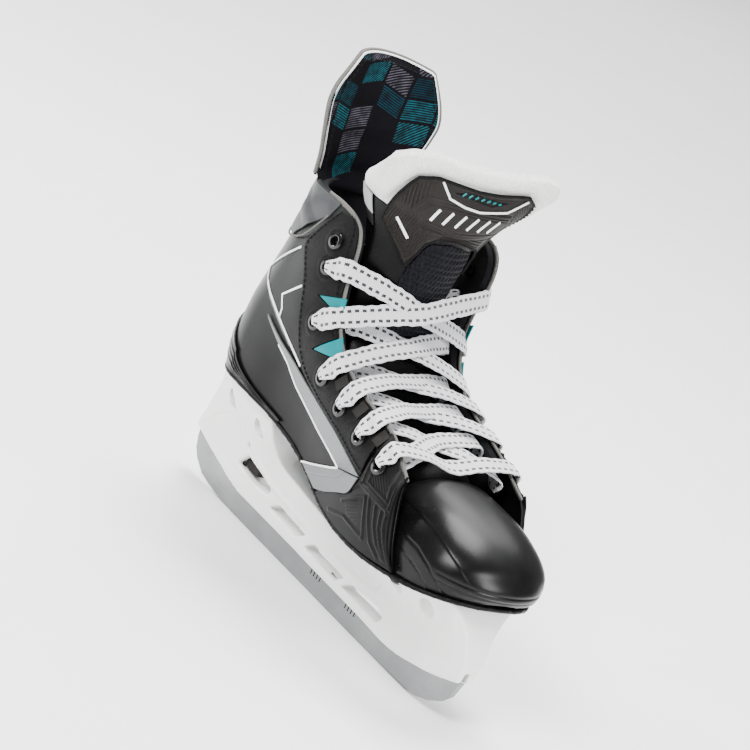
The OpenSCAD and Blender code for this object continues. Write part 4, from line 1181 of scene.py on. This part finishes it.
def makePiping(side):
    for label, wide, finish in (("long", 0.75, "white"), ("longInner", 0.3, "silver"),
                                ("short", 0.65, "white")):
        line = surfaceTube("piping" + label.capitalize(), side, pipingLook[label],
                           0.15, wide, 0.3, corners=True)
        finishPiece(line, finishes[finish], "boot", 60)
    # binding round the cuff and down the free edge of the facing
    edge = np.array([along(facingTop, [t])[0] for t in np.linspace(0, 1, 60)])
    binding = surfaceTube("facingBinding", side, edge, -0.35, 1.3, 0.7, 1.2, 10)
    finishPiece(binding, finishes["binding"], "boot", 60)
    # grey woven tabs that stick out under the lace at the lower eyelets
    for k in (3, 4, 5):
        a, b = np.array(eyeletAt[k]), np.array(eyeletAt[k + 1] if k < 6 else eyeletAt[k])
        way = unit(b - np.array(eyeletAt[k - 1]))
        out = np.array([-way[1], way[0]])
        mid = mix(a, b, 0.45)
        low = [mid - way * 3 + out * 4, mid + way * 3 + out * 4]
        high = [mid - way * 3 + out * 11, mid + way * 3 + out * 11]
        tab = patch("webTab%d" % k, side, 16, 16,
                    lambda u, v: mix(mix(low[0], low[1], u[:, None]),
                                     mix(high[0], high[1], u[:, None]), v[:, None]),
                    trimHigh + 0.2, trimHigh + 0.8, None, 0.1)
        finishPiece(tab, finishes["greyWeb"], "boot", 50)


for side in sides:
    makeCounter(side)
    makeCollar(side)
    makeEyestay(side)
    makeNotchInserts(side)
    makeAccent(side)
    makeForefootGuard(side)
    makePiping(side)
print("trim made")

# toe cap
toeArches = [[62, 37.4, 64, 101.8, 2.8], [74, 37.9, 79, 101.4, 2.8], [86, 38.2, 94, 99.8, 2.8],
             [96, 37.7, 107, 96.8, 2.7], [104, 36.6, 117.5, 92.8, 2.6], [111, 33.6, 125.5, 88, 2.5],
             [116, 29.4, 129.5, 82.8, 2.4], [121, 24, 132.4, 77.8, 2.25],
             [124.5, 17.6, 133, 73.6, 2.1], [126.8, 10.2, 131.4, 70.4, 2]]
toeLook = dict(panels=[[[80, 80], [98, 79.5], [109, 76], [116, 71], [119, 64]],
                       [[80, 73], [97, 72.5], [106, 70], [111, 66], [112.5, 62]]],
               grooves=(75.5, 72.2), thick=2)


def makeToeCap():
    even = np.linspace(0, 1, len(toeArches))
    table = np.array(toeArches, float)

    def shape(u, v):
        v = v * 0.999
        edgeX, wide, crownX, crownZ, box = (hermite(even, table[:, k], v) for k in range(5))
        t = math.pi * (1 - u)
        low = soleZ(edgeX) + layers["outsole"] + 0.2
        c, s = np.cos(t), np.sin(np.clip(t, 0, math.pi))
        hy = np.sign(c) * np.abs(c) ** (2 / box)
        hz = np.abs(s) ** (2 / box)
        swell = 1 + 0.08 * np.sin(2 * np.minimum(t, math.pi - t))
        return np.stack([mix(edgeX, crownX, hz), -wide * hy * swell, mix(low, crownZ, hz)], -1)

    def relieved(u, v):
        e = 0.002
        p = shape(u, v)
        a = shape(np.clip(u + e, 0, 1), v) - shape(np.clip(u - e, 0, 1), v)
        b = shape(u, np.clip(v + e, 0, 1)) - shape(u, np.clip(v - e, 0, 1))
        normal = unit(np.cross(b, a))
        normal = np.where((np.sum(normal * (p - np.array([80, 0, 70])), -1) < 0)[:, None], -normal, normal)
        rise = np.zeros(len(u))
        for line in toeLook["panels"]:
            rise -= 0.35 * nearLine(p[:, [0, 2]], line, 0.9)
        for z in toeLook["grooves"]:
            rise -= 0.4 * np.exp(-((p[:, 2] - z) / 0.7) ** 2) * ramp(112, 118, p[:, 0])
        shoulder = np.abs(u - 0.5) * 2
        rise -= 0.5 * ramp(0.5, 0.535, shoulder) * (1 - ramp(0.55, 0.75, v)) * (1 - ramp(0.6, 0.8, shoulder))
        return p + normal * rise[:, None]
    away = lambda c: c - Vector((0.08, 0, 0.07))
    cap = skin("toeCap", 190, 130, relieved, toeLook["thick"], away, 0.3)
    finishPiece(cap, finishes["toe"], "boot", 35, ["toe_cap"])


makeToeCap()
print("toe cap made")

# millimetres across the tongue for each degree round its front
acrossPerDegree = 0.62
# the tongue: rows of its front at mid-width from the toe up, [x, z, half width, how far the sides fall back]
tongueRows = np.array([[66, 93, 24, 9], [54, 100, 27, 10], [40, 105, 29, 12], [26, 109.5, 30, 13],
                       [12, 115, 30, 14],
                       [-1, 123, 30, 17], [-10.5, 134, 30, 20.5], [-16, 146, 30, 23], [-17.5, 157, 30, 23],
                       [-16.5, 170, 29.8, 23.5], [-14, 184, 30, 24.5], [-12, 197, 35, 29],
                       [-10.5, 210, 41.5, 27],
                       [-10, 222, 46.5, 19], [-11.5, 233, 50, 10], [-15, 241.5, 52, 5]], float)
tongueRun = runOf(tongueRows[:, :2])
tongueSplit = 109.9
tongueBend = ("boot", "flap", (-0.017, 0, 0.15), (-0.017, 0, 0.164))
guardBend = ("boot", "tendon", (-0.11, 0, 0.187), (-0.11, 0, 0.2))


def tonguePlace(s, a, off):
    # s millimetres up the tongue, a degrees round its front, off millimetres out of it
    s, a, off = (np.asarray(k, float) for k in (s, a, off))
    top = np.clip(s, 0, tongueRun[-1])
    x, z, wide, fall = (hermite(tongueRun, tongueRows[:, k], top) for k in range(4))
    before = np.maximum(top - 1, 0)
    way = unit(np.stack([hermite(tongueRun, tongueRows[:, k], before + 1)
                         - hermite(tongueRun, tongueRows[:, k], before)
                         for k in range(2)], -1))
    turn = np.radians(a)
    wide = wide + off * 0.7
    depth = off - fall * (1 - np.cos(turn))
    swing = 0.1 * ramp(186, 226, z) * wide * np.sin(turn)
    return np.stack([x + way[:, 0] * (s - top) + way[:, 1] * depth + swing, wide * np.sin(turn),
                     z + way[:, 1] * (s - top) - way[:, 0] * depth], -1)


def poly(line, at):
    # a point on a broken line given as [at, first, second]
    line = np.asarray(line, float)
    return np.interp(at, line[:, 0], line[:, 1]), np.interp(at, line[:, 0], line[:, 2])


def tongueTube(name, line, off, wide, thick, closed=False, gap=0.9):
    # piping on the tongue along a line of [a, s]
    line = [np.array([acrossPerDegree * a, s]) for a, s in line]
    ends = line + line[:1] if closed else line
    q = np.concatenate([evenly([a, b], gap)[:-1] for a, b in zip(ends[:-1], ends[1:])]
                       + ([] if closed else [[line[-1]]]))
    path = tonguePlace(q[:, 1], q[:, 0] / acrossPerDegree, off + 0 * q[:, 0])
    out = tonguePlace(q[:, 1], q[:, 0] / acrossPerDegree, off + 1 + 0 * q[:, 0]) - path
    across = np.cross(unit(np.gradient(path, axis=0)), out)
    return sweep(name, path, across, roundSection(wide, thick, 8, 0.8), closed)


forward = lambda c: Vector((1, 0, 0))
tongueLook = dict(
    left=[[0, -88], [0.3, -88], [0.48, -95], [0.6, -110], [0.72, -109], [0.85, -99], [0.94, -89], [1, -79]],
    top=[[-80, 189.5], [-68, 193], [-53, 195.5], [-31, 197], [-9, 195.5], [18, 197],
         [33, 199.5], [54, 201.5], [72, 200], [88, 192]],
    badge=[[-71, 150.5], [-36, 134.4], [-31, 141], [-24, 149.7], [-14, 154.6], [0, 155.5],
           [14, 154.5], [32, 152],
           [43, 147], [54, 134.4], [70, 150], [68, 158], [52, 184], [40, 187.8], [28, 186.3],
           [15, 184.5], [0, 183.6],
           [-29, 184.6], [-43, 182], [-48, 178], [-53, 172], [-69, 153]],
    badgeLow=[[0, -71, 150.5], [0.14, -36, 134.4], [0.2, -31, 141], [0.28, -24, 149.7], [0.36, -14, 154.6],
              [0.48, 0, 155.5], [0.6, 14, 154.5], [0.7, 32, 152], [0.78, 43, 147], [0.88, 54, 134.4],
              [1, 70, 150]],
    badgeHigh=[[0, -69, 153], [0.14, -53, 172], [0.2, -48, 178], [0.28, -43, 182], [0.36, -29, 184.6],
               [0.48, 0, 183.6], [0.6, 15, 184.5], [0.7, 28, 186.3], [0.78, 40, 187.8],
               [0.88, 52, 184], [1, 68, 158]],
    plate=[[-39, 164.4], [-32, 171.5], [-17, 172.5], [37, 173.5], [41, 168], [38.5, 162], [-4, 159],
           [-33, 159.4]],
    chevron=[[-26, 183.6], [-18, 176.5], [-6, 174.6], [6, 174.2], [28, 177.3], [41, 185.5]],
    inset=[[-17, 179.8], [-7, 182.2], [27, 182.6], [14, 178]],
    cover=[[-118, 157], [-88, 158], [-66, 158], [-50, 160], [0, 163], [45, 158], [58, 147], [66, 138]],
    padTop=[[-30, 134], [-26, 144], [-18, 150.5], [0, 152.5], [16, 151.5], [30, 149], [40, 143], [48, 134]])


def flat2(points):
    # tongue coordinates as millimetres, for distances
    return np.array([[acrossPerDegree * a, s] for a, s in points])


def makeTongue():
    look = tongueLook
    outline = flat2(look["badge"])

    def lower(u, v):
        return tonguePlace(v * tongueSplit, mix(-88, 88, u), 0 * u)
    piece = skin("tongueLower", 90, 110, lower, 4.5, forward, 1.0, 3)
    finishPiece(piece, finishes["blackBinding"], "boot", 60, ["tongue_lower"])

    def felt(u, v):
        left = hermite([q[0] for q in look["left"]], [q[1] for q in look["left"]], v)
        a = mix(left, 82, u)
        top = np.interp(np.maximum(a, -80), [q[0] for q in look["top"]], [q[1] for q in look["top"]])
        s_ = mix(tongueSplit + 0.3, top, v)
        far = inside(np.stack([acrossPerDegree * a, s_], -1), outline)
        puff = 3.4 * ramp(0.5, 6, far) * ramp(157, 168, s_) * (1 - 0.6 * ramp(0, 1, (s_ - top + 4) / 4))
        wave = 0.5 * np.sin(a * 0.11 + s_ * 0.09) * ramp(176, 190, s_)
        return tonguePlace(s_, a, puff + wave)
    piece = skin("tongueFelt", 160, 120, felt, 7.5, forward, 3.2, 6)
    finishPiece(piece, finishes["felt"], "flap", 75, ["tongue_upper"])

    def cover(u, v):
        a = mix(-88 - 30 * ramp(0.62, 0.8, v), 66, u)
        top = np.interp(a, [q[0] for q in look["cover"]], [q[1] for q in look["cover"]])
        s_ = mix(84, top, v)
        fold = 0.5 * np.sin((a + 88) * 0.16 + s_ * 0.1) * ramp(-40, -60, a)
        return tonguePlace(s_, a, 1.0 + fold * 0.5)
    piece = skin("tongueCover", 130, 90, cover, 0.8, forward, 0.2)
    finishPiece(piece, finishes["gloss"], tongueBend, 70)

    def pad(u, v):
        high = np.array(look["padTop"], float)
        at = np.linspace(0, 1, len(high))
        a1, s1 = np.interp(u, at, high[:, 0]), np.interp(u, at, high[:, 1])
        a, s_ = mix(mix(-30, 48, u), a1, v), mix(98 + 0 * u, s1, v)
        edge = np.minimum(np.minimum(u, 1 - u) * 3.2, np.minimum(v, 1 - v) * 4)
        mm_ = acrossPerDegree * a
        offset = (np.floor(s_ / 3.4) % 2) * math.pi / 2
        cell = np.abs(np.sin(mm_ * 1.05 + offset)) * np.abs(np.sin(s_ * math.pi / 3.4))
        return tonguePlace(s_, a, 1.9 + 1.6 * ramp(0, 1, edge) - 0.55 * ramp(0.3, 0.75, cell))
    piece = skin("tonguePad", 160, 130, pad, 1.4, forward, 0.3)
    finishPiece(piece, finishes["mesh"], tongueBend, 60, ["tongue_pad"])


def makeBadge():
    look = tongueLook
    outline, plate = flat2(look["badge"]), flat2(look["plate"])
    chevron, inset = flat2(look["chevron"]), flat2(look["inset"])

    def shape(u, v):
        a0, s0 = poly(look["badgeLow"], u)
        a1, s1 = poly(look["badgeHigh"], u)
        a, s_ = mix(a0, a1, v), mix(s0, s1, v)
        q = np.stack([acrossPerDegree * a, s_], -1)
        x = q[:, 0]
        edge = -inside(q, outline)
        onPlate = -inside(q, plate)
        rise = 0.55 * (1 - ramp(0.9, 1.6, edge)) * ramp(0, 0.5, edge)
        rise += 0.45 * ramp(-1.5, -1.0, onPlate) + 0.45 * ramp(0.3, 0.8, onPlate)
        rise -= 0.35 * np.exp(-((onPlate - 1.6) / 0.35) ** 2) + 0.3 * np.exp(-((onPlate + 2.4) / 0.3) ** 2)
        clear = ramp(1.6, 2.2, edge) * ramp(2.0, 2.6, -onPlate)
        bars = 0.35 * np.sin(x * 3.4) * ramp(164, 166, s_) * (1 - ramp(-19.5, -18, x))
        dots = 0.35 * np.sin((x + 0.35 * s_) * 3.2) * np.sin((s_ - 0.2 * x) * 3.2)
        dots = dots * (1 - ramp(160, 162, s_)) * (1 - ramp(-15, -12, x))
        hatch = 0.3 * np.sin((s_ + 0.9 * x) * 3.2) * ramp(22, 24, x)
        middle = ramp(-9, -6, x) * (1 - ramp(19, 21, x)) * (1 - ramp(157.5, 158.5, s_))
        hatch += 0.25 * np.sin((s_ + 0.15 * x) * 3.6) * middle
        sunk = -0.8 * ramp(0, 0.6, -inside(q, inset))
        rise += (bars + dots + hatch) * clear + sunk
        rise += 0.4 * nearLine(q, chevron, 1.6)
        return tonguePlace(s_, a, 2.1 + rise)
    piece = skin("tongueBadge", 190, 124, shape, 1.4, forward, 0.2)
    finishPiece(piece, finishes["badge"], "flap", 30, ["tongue_badge"])
    border = tongueTube("badgeBorder", look["badge"], 2.2, 0.95, 0.7, closed=True)
    finishPiece(border, finishes["blackBinding"], "flap", 60)
    line = tongueTube("badgeChevron", look["chevron"], 2.75, 0.62, 0.35)
    finishPiece(line, finishes["white"], "flap", 60)
    bar = tongueTube("badgeBar", [[-55, 156], [-42, 148.4]], 2.6, 0.7, 0.35)
    finishPiece(bar, finishes["white"], "flap", 60)
    for k in range(7):
        ends = [[-8 + 4.6 * k, 181.4 - 0.12 * k], [-10 + 4.6 * k, 179.4 + 0.14 * k]]
        dash = tongueTube("badgeDash%d" % k, ends, 1.9, 0.55, 0.3)
        finishPiece(dash, finishes["teal"], "flap", 60)
    for k in range(6):
        ends = [[-22 + 10 * k, 169.8 + 0.3 * k], [-27 + 10 * k, 162.6 + 0.3 * k]]
        dash = tongueTube("plateDash%d" % k, ends, 3.0, 0.85, 0.3)
        finishPiece(dash, finishes["white"], "flap", 60)
    q = np.concatenate([evenly([a, b], 2.4)[:-1] for a, b in zip(outline, np.roll(outline, -1, 0))])
    path = tonguePlace(q[:, 1], q[:, 0] / acrossPerDegree, 3.05 + 0 * q[:, 0])
    up = unit(tonguePlace(q[:, 1], q[:, 0] / acrossPerDegree, 4.05 + 0 * q[:, 0]) - path)
    way = unit(np.roll(path, -1, 0) - path)
    sewn = stitches("badgeStitches", path, way, up, 1.5, 0.35, 0.3)
    finishPiece(sewn, finishes["thread"], "flap", 60)


def makeSizeTab():
    def place(u, v, off):
        return tonguePlace(mix(148.2, 158.4, v), mix(-114, -86, u), off)
    tab = skin("sizeTab", 40, 30, lambda u, v: place(u, v, 1.7 + 0 * u), 0.6, forward, 0.2)
    finishPiece(tab, finishes["label"], "flap", 60, ["size_tab"])
    low = skin("sizeTabLower", 30, 20,
               lambda u, v: tonguePlace(mix(142.5, 147.8, v), mix(-108, -86, u), 1.6 + 0 * u),
               0.5, forward, 0.2)
    finishPiece(low, finishes["ink"], "flap", 60)
    three = [[0.30, 0.78], [0.42, 0.9], [0.58, 0.88], [0.66, 0.74], [0.58, 0.58], [0.46, 0.53], [0.6, 0.48], [0.7, 0.34],
             [0.6, 0.16], [0.42, 0.12], [0.3, 0.26]]
    letter = [[0.38, 0.2], [0.38, 0.8], [0.56, 0.78], [0.68, 0.62], [0.68, 0.38], [0.56, 0.22], [0.38, 0.2]]
    for name, line, a0, a1, s0, s1, off, wide, finish in (
            ("sizeThree", three, -112, -88, 148.6, 158, 1.85, 0.62, "ink"),
            ("sizeWidth", letter, -103, -91, 143.2, 147.2, 1.75, 0.3, "label")):
        q = (evenly(line, 0.03) if name == "sizeThree" else
             np.concatenate([evenly([a, b], 0.1)[:-1] for a, b in zip(line[:-1], line[1:])]))
        a, s_ = mix(a0, a1, q[:, 0]), mix(s0, s1, q[:, 1])
        path = tonguePlace(s_, a, off + 0 * a)
        out = tonguePlace(s_, a, off + 1 + 0 * a) - path
        across = np.cross(unit(np.gradient(path, axis=0)), out)
        mark = sweep(name, path, across, roundSection(wide, 0.15, 8, 0.8))
        finishPiece(mark, finishes[finish], "flap", 60)


makeTongue()
makeBadge()
makeSizeTab()
print("tongue made")

guardRows = np.array([[191, 31, -112.5, -97], [203, 31.6, -114, -99], [214, 33.6, -115.5, -101],
                      [224, 36.4, -116.5, -101.5], [232, 37.8, -117, -102], [240, 36, -117.5, -103.5],
                      [250, 31.2, -118, -105.5], [260, 25.6, -118.5, -108.5]], float)


def guardPlace(z, k, inset):
    wide, rear, side = (hermite(guardRows[:, 0], guardRows[:, n], z) for n in (1, 2, 3))
    return np.stack([mix(rear, side, np.abs(k) ** 2.2) + inset, (wide - inset * 0.3) * k,
                     z - 1.8 * k * k * ramp(235, 260, z)], -1)


def makeGuard():
    def shell(u, v):
        k, z = mix(-1, 1, u), mix(191, 260, v)
        ribs = 0.5 * sum(np.exp(-((z - c) / 1.1) ** 2) for c in (199, 206, 213))
        ribs = ribs * (1 - ramp(0.5, 0.8, np.abs(k)))
        frame_ = 0.4 * np.exp(-((np.abs(k) - 0.82) / 0.03) ** 2)
        return guardPlace(z, k, 0.3 - ribs * 0.6 - frame_)
    back = skin("tendonShell", 120, 110, shell, 1.5, lambda c: Vector((-1, 0, 0)), 0.5, 3)
    finishPiece(back, finishes["tendon"], "tendon", 50, ["tendon_guard"])

    def lining(u, v):
        k, z = mix(-0.985, 0.985, u), mix(185, 258.8, v)
        edge = ramp(0, 1, np.minimum(np.minimum(u, 1 - u) * 16, (1 - v) * 16))
        quilt = 0.35 * np.sin(z * 0.35) * (1 - ramp(0.3, 0.7, np.abs(k)))
        return guardPlace(z, k, 3.0 + 2.0 * edge + quilt + 4.2 * (1 - ramp(186, 196, z)))
    front = skin("tendonLining", 110, 120, lining, 1.6, forward, 0.6, 3)
    finishPiece(front, finishes["guardLining"], guardBend, 60, ["tendon_guard_lining"])
    # bound edge with a pale strip beside it
    rim = [(-1, z) for z in np.linspace(192, 259, 60)] + [(k, 259.6) for k in np.linspace(-0.96, 0.96, 60)]
    rim += [(1, z) for z in np.linspace(259, 192, 60)]
    k, z = np.array([r[0] for r in rim], float), np.array([r[1] for r in rim], float)
    for name, inset, wide, thick, finish in (("tendonEdge", 0.9, 1.1, 1.0, "binding"),
                                             ("tendonPiping", 2.5, 0.7, 0.55, "white")):
        share = 1.0 if name == "tendonEdge" else 0.975
        path = guardPlace(z - (0 if share == 1 else 0.6), k * share, inset)
        piece = sweep(name, path, np.tile([1.0, 0, 0], (len(path), 1)), roundSection(wide, thick, 10, 0.8))
        finishPiece(piece, finishes[finish], "tendon", 60)
    q = np.array([(-0.9, t) for t in np.arange(197, 254, 3.1)]
                 + [(t, 255.6) for t in np.arange(-0.86, 0.87, 0.11)]
                 + [(0.9, t) for t in np.arange(254, 197, -3.1)])
    path = guardPlace(q[:, 1], q[:, 0], 5.2)
    up = unit(guardPlace(q[:, 1], q[:, 0], 6.2) - path)
    way = unit(np.gradient(path, axis=0))
    sewn = stitches("tendonStitches", path, way, up, 2.0, 0.4, 0.35)
    finishPiece(sewn, finishes["thread"], "tendon", 60)


makeGuard()
print("tendon guard made")

laceLook = dict(wide=11, thick=1.1, lift=1.5, swap=0.95, room=2.2, steps=9,
                cross=[[0, 0], [0, 0], [-8.2, 158.3], [-5.6, 139.8], [5.2, 125.6], [21, 117], [40, 110.2]],
                front=[57, 105.5], reach=[14, 14, 14.5, 13.5, 13.5, 13, 11],
                tail=[[-6, -6], [-13, -16], [-18, -29], [-20, -42]])
laceDeep = layers["shell"] + layers["gap"] + layers["lining"] + laceLook["room"]
laceOver = trimHigh + laceLook["lift"]
lastEyelet = len(eyeletAt) - 1
flat = (laceLook["wide"] / 2, laceLook["thick"] / 2)
pinched = (1.5, 0.6)


def byEyelet(k, s, d, off, size):
    # a point of the lace beside eyelet k: s is the side, d how far towards the middle
    a, b = np.array(eyeletAt[max(k - 1, 0)], float), np.array(eyeletAt[min(k + 1, lastEyelet)], float)
    way = unit(b - a)
    p = np.array(eyeletAt[k], float) + np.array([-way[1], way[0]]) * d
    place = onBoot(p, np.array(off, float), "inner")
    if s < 0:
        place = onBoot(p, np.array(off, float), "outer")
    return place, np.array([way[0], 0, way[1]]), np.array(size, float)


def through(k, s):
    return [byEyelet(k, s, 0.4, -laceDeep, (2.5, 0.7)), byEyelet(k, s, 0, -3, pinched),
            byEyelet(k, s, 0.2, 1.4, pinched)]


def outsideRun(k, s):
    return [byEyelet(k, s, 1.6, laceOver + 1.6, (2.6, 0.9)), byEyelet(k, s, 6.5, laceOver + 0.3, flat),
            byEyelet(k, s, laceLook["reach"][k], laceOver, flat)]


def insideRun(k, s):
    return [byEyelet(k, s, 5, -laceDeep, flat),
            byEyelet(k, s, laceLook["reach"][k] - 1, -laceDeep + 0.2, flat)]


def centrePoint(c, k, up):
    way = byEyelet(k, -1, 0, 0, flat)[1]
    return np.array([c[0], 0, c[1]]) + np.array([-way[2], 0, way[0]]) * up, way, np.array(flat)


def midway(a, b, k, up):
    way = byEyelet(k, -1, 0, 0, flat)[1]
    return mix(a[0], b[0], 0.5) + np.array([-way[2], 0, way[0]]) * up, mix(a[1], b[1], 0.5), np.array(flat)


def laceBar(k, s):
    start = insideRun(k, s) if k == lastEyelet else outsideRun(k, s)
    end = (outsideRun(k - 1, -s) if k == 2 else insideRun(k - 1, -s))[::-1]
    middle = centrePoint(laceLook["cross"][k], k, laceLook["swap"] * (1 if s < 0 else -1))
    sag = 2.4 if k == 2 else 1.2
    return (start + [midway(start[-1], middle, k, 2.2), middle, midway(middle, end[0], k, sag)]
            + end)


def halfLace(s):
    tail = [byEyelet(1, -s, 0, -laceDeep, flat)]
    for d in laceLook["tail"]:
        p = np.array(eyeletAt[1], float) + d
        place = onBoot(p, np.array(-laceDeep - 0.6), "outer" if -s < 0 else "inner")
        tail.append((place, np.array([0.9, 0, 0.4]), np.array((3, 0.6))))
    return (through(lastEyelet, s)[::-1] + laceBar(6, s) + through(5, -s) + laceBar(5, -s) + through(4, s)
            + laceBar(4, s) + through(3, -s) + laceBar(3, -s) + through(2, s) + laceBar(2, s)
            + through(1, -s)[::-1] + tail[1:])


def frontBar():
    a, b = outsideRun(lastEyelet, -1), outsideRun(lastEyelet, 1)
    middle = centrePoint(laceLook["front"], lastEyelet, 0)
    return a + [midway(a[2], middle, lastEyelet, 2), middle, midway(middle, b[2], lastEyelet, 2)] + b[::-1]


def laceRings():
    route = halfLace(-1)[::-1] + frontBar() + halfLace(1)
    parts = [np.array([r[k] for r in route], float) for k in range(3)]
    count, steps = len(route), laceLook["steps"]
    at = np.linspace(0, count - 1, (count - 1) * steps + 1)
    even = np.arange(count)
    place, way, size = (np.stack([hermite(even, part[:, k], at) for k in range(part.shape[1])], -1)
                        for part in parts)
    return place, way, size


def makeLace():
    place, way, size = laceRings()
    # the braid is a little uneven along its run
    run = runOf(place)
    base = roundSection(1, 1, 18, 0.45)
    ripple = 1 + 0.05 * np.sin(run * 0.9) + 0.03 * np.sin(run * 0.37 + 1)
    section = np.stack([base[None, :, 0] * (size[:, :1] * ripple[:, None]),
                        base[None, :, 1] * size[:, 1:]], -1)
    lace = sweep("lace", place, way, section)
    finishPiece(lace, finishes["lace"], "boot", 50, ["lace"])
    print("lace length", round(float(run[-1])), "mm")


makeLace()


def makeFloor():
    deselect()
    bpy.ops.mesh.primitive_plane_add(size=60, location=(0, 0, -0.0002))
    floor = bpy.context.object
    floor.name = "floor"
    floor.data.materials.append(plasticFinish("paleFloor", (0.9, 0.9, 0.9), 0.7, (0.91, 0.91, 0.91), 40, 0.01))


makeFloor()
makeLights()
makeCamera()
print("scene ready")
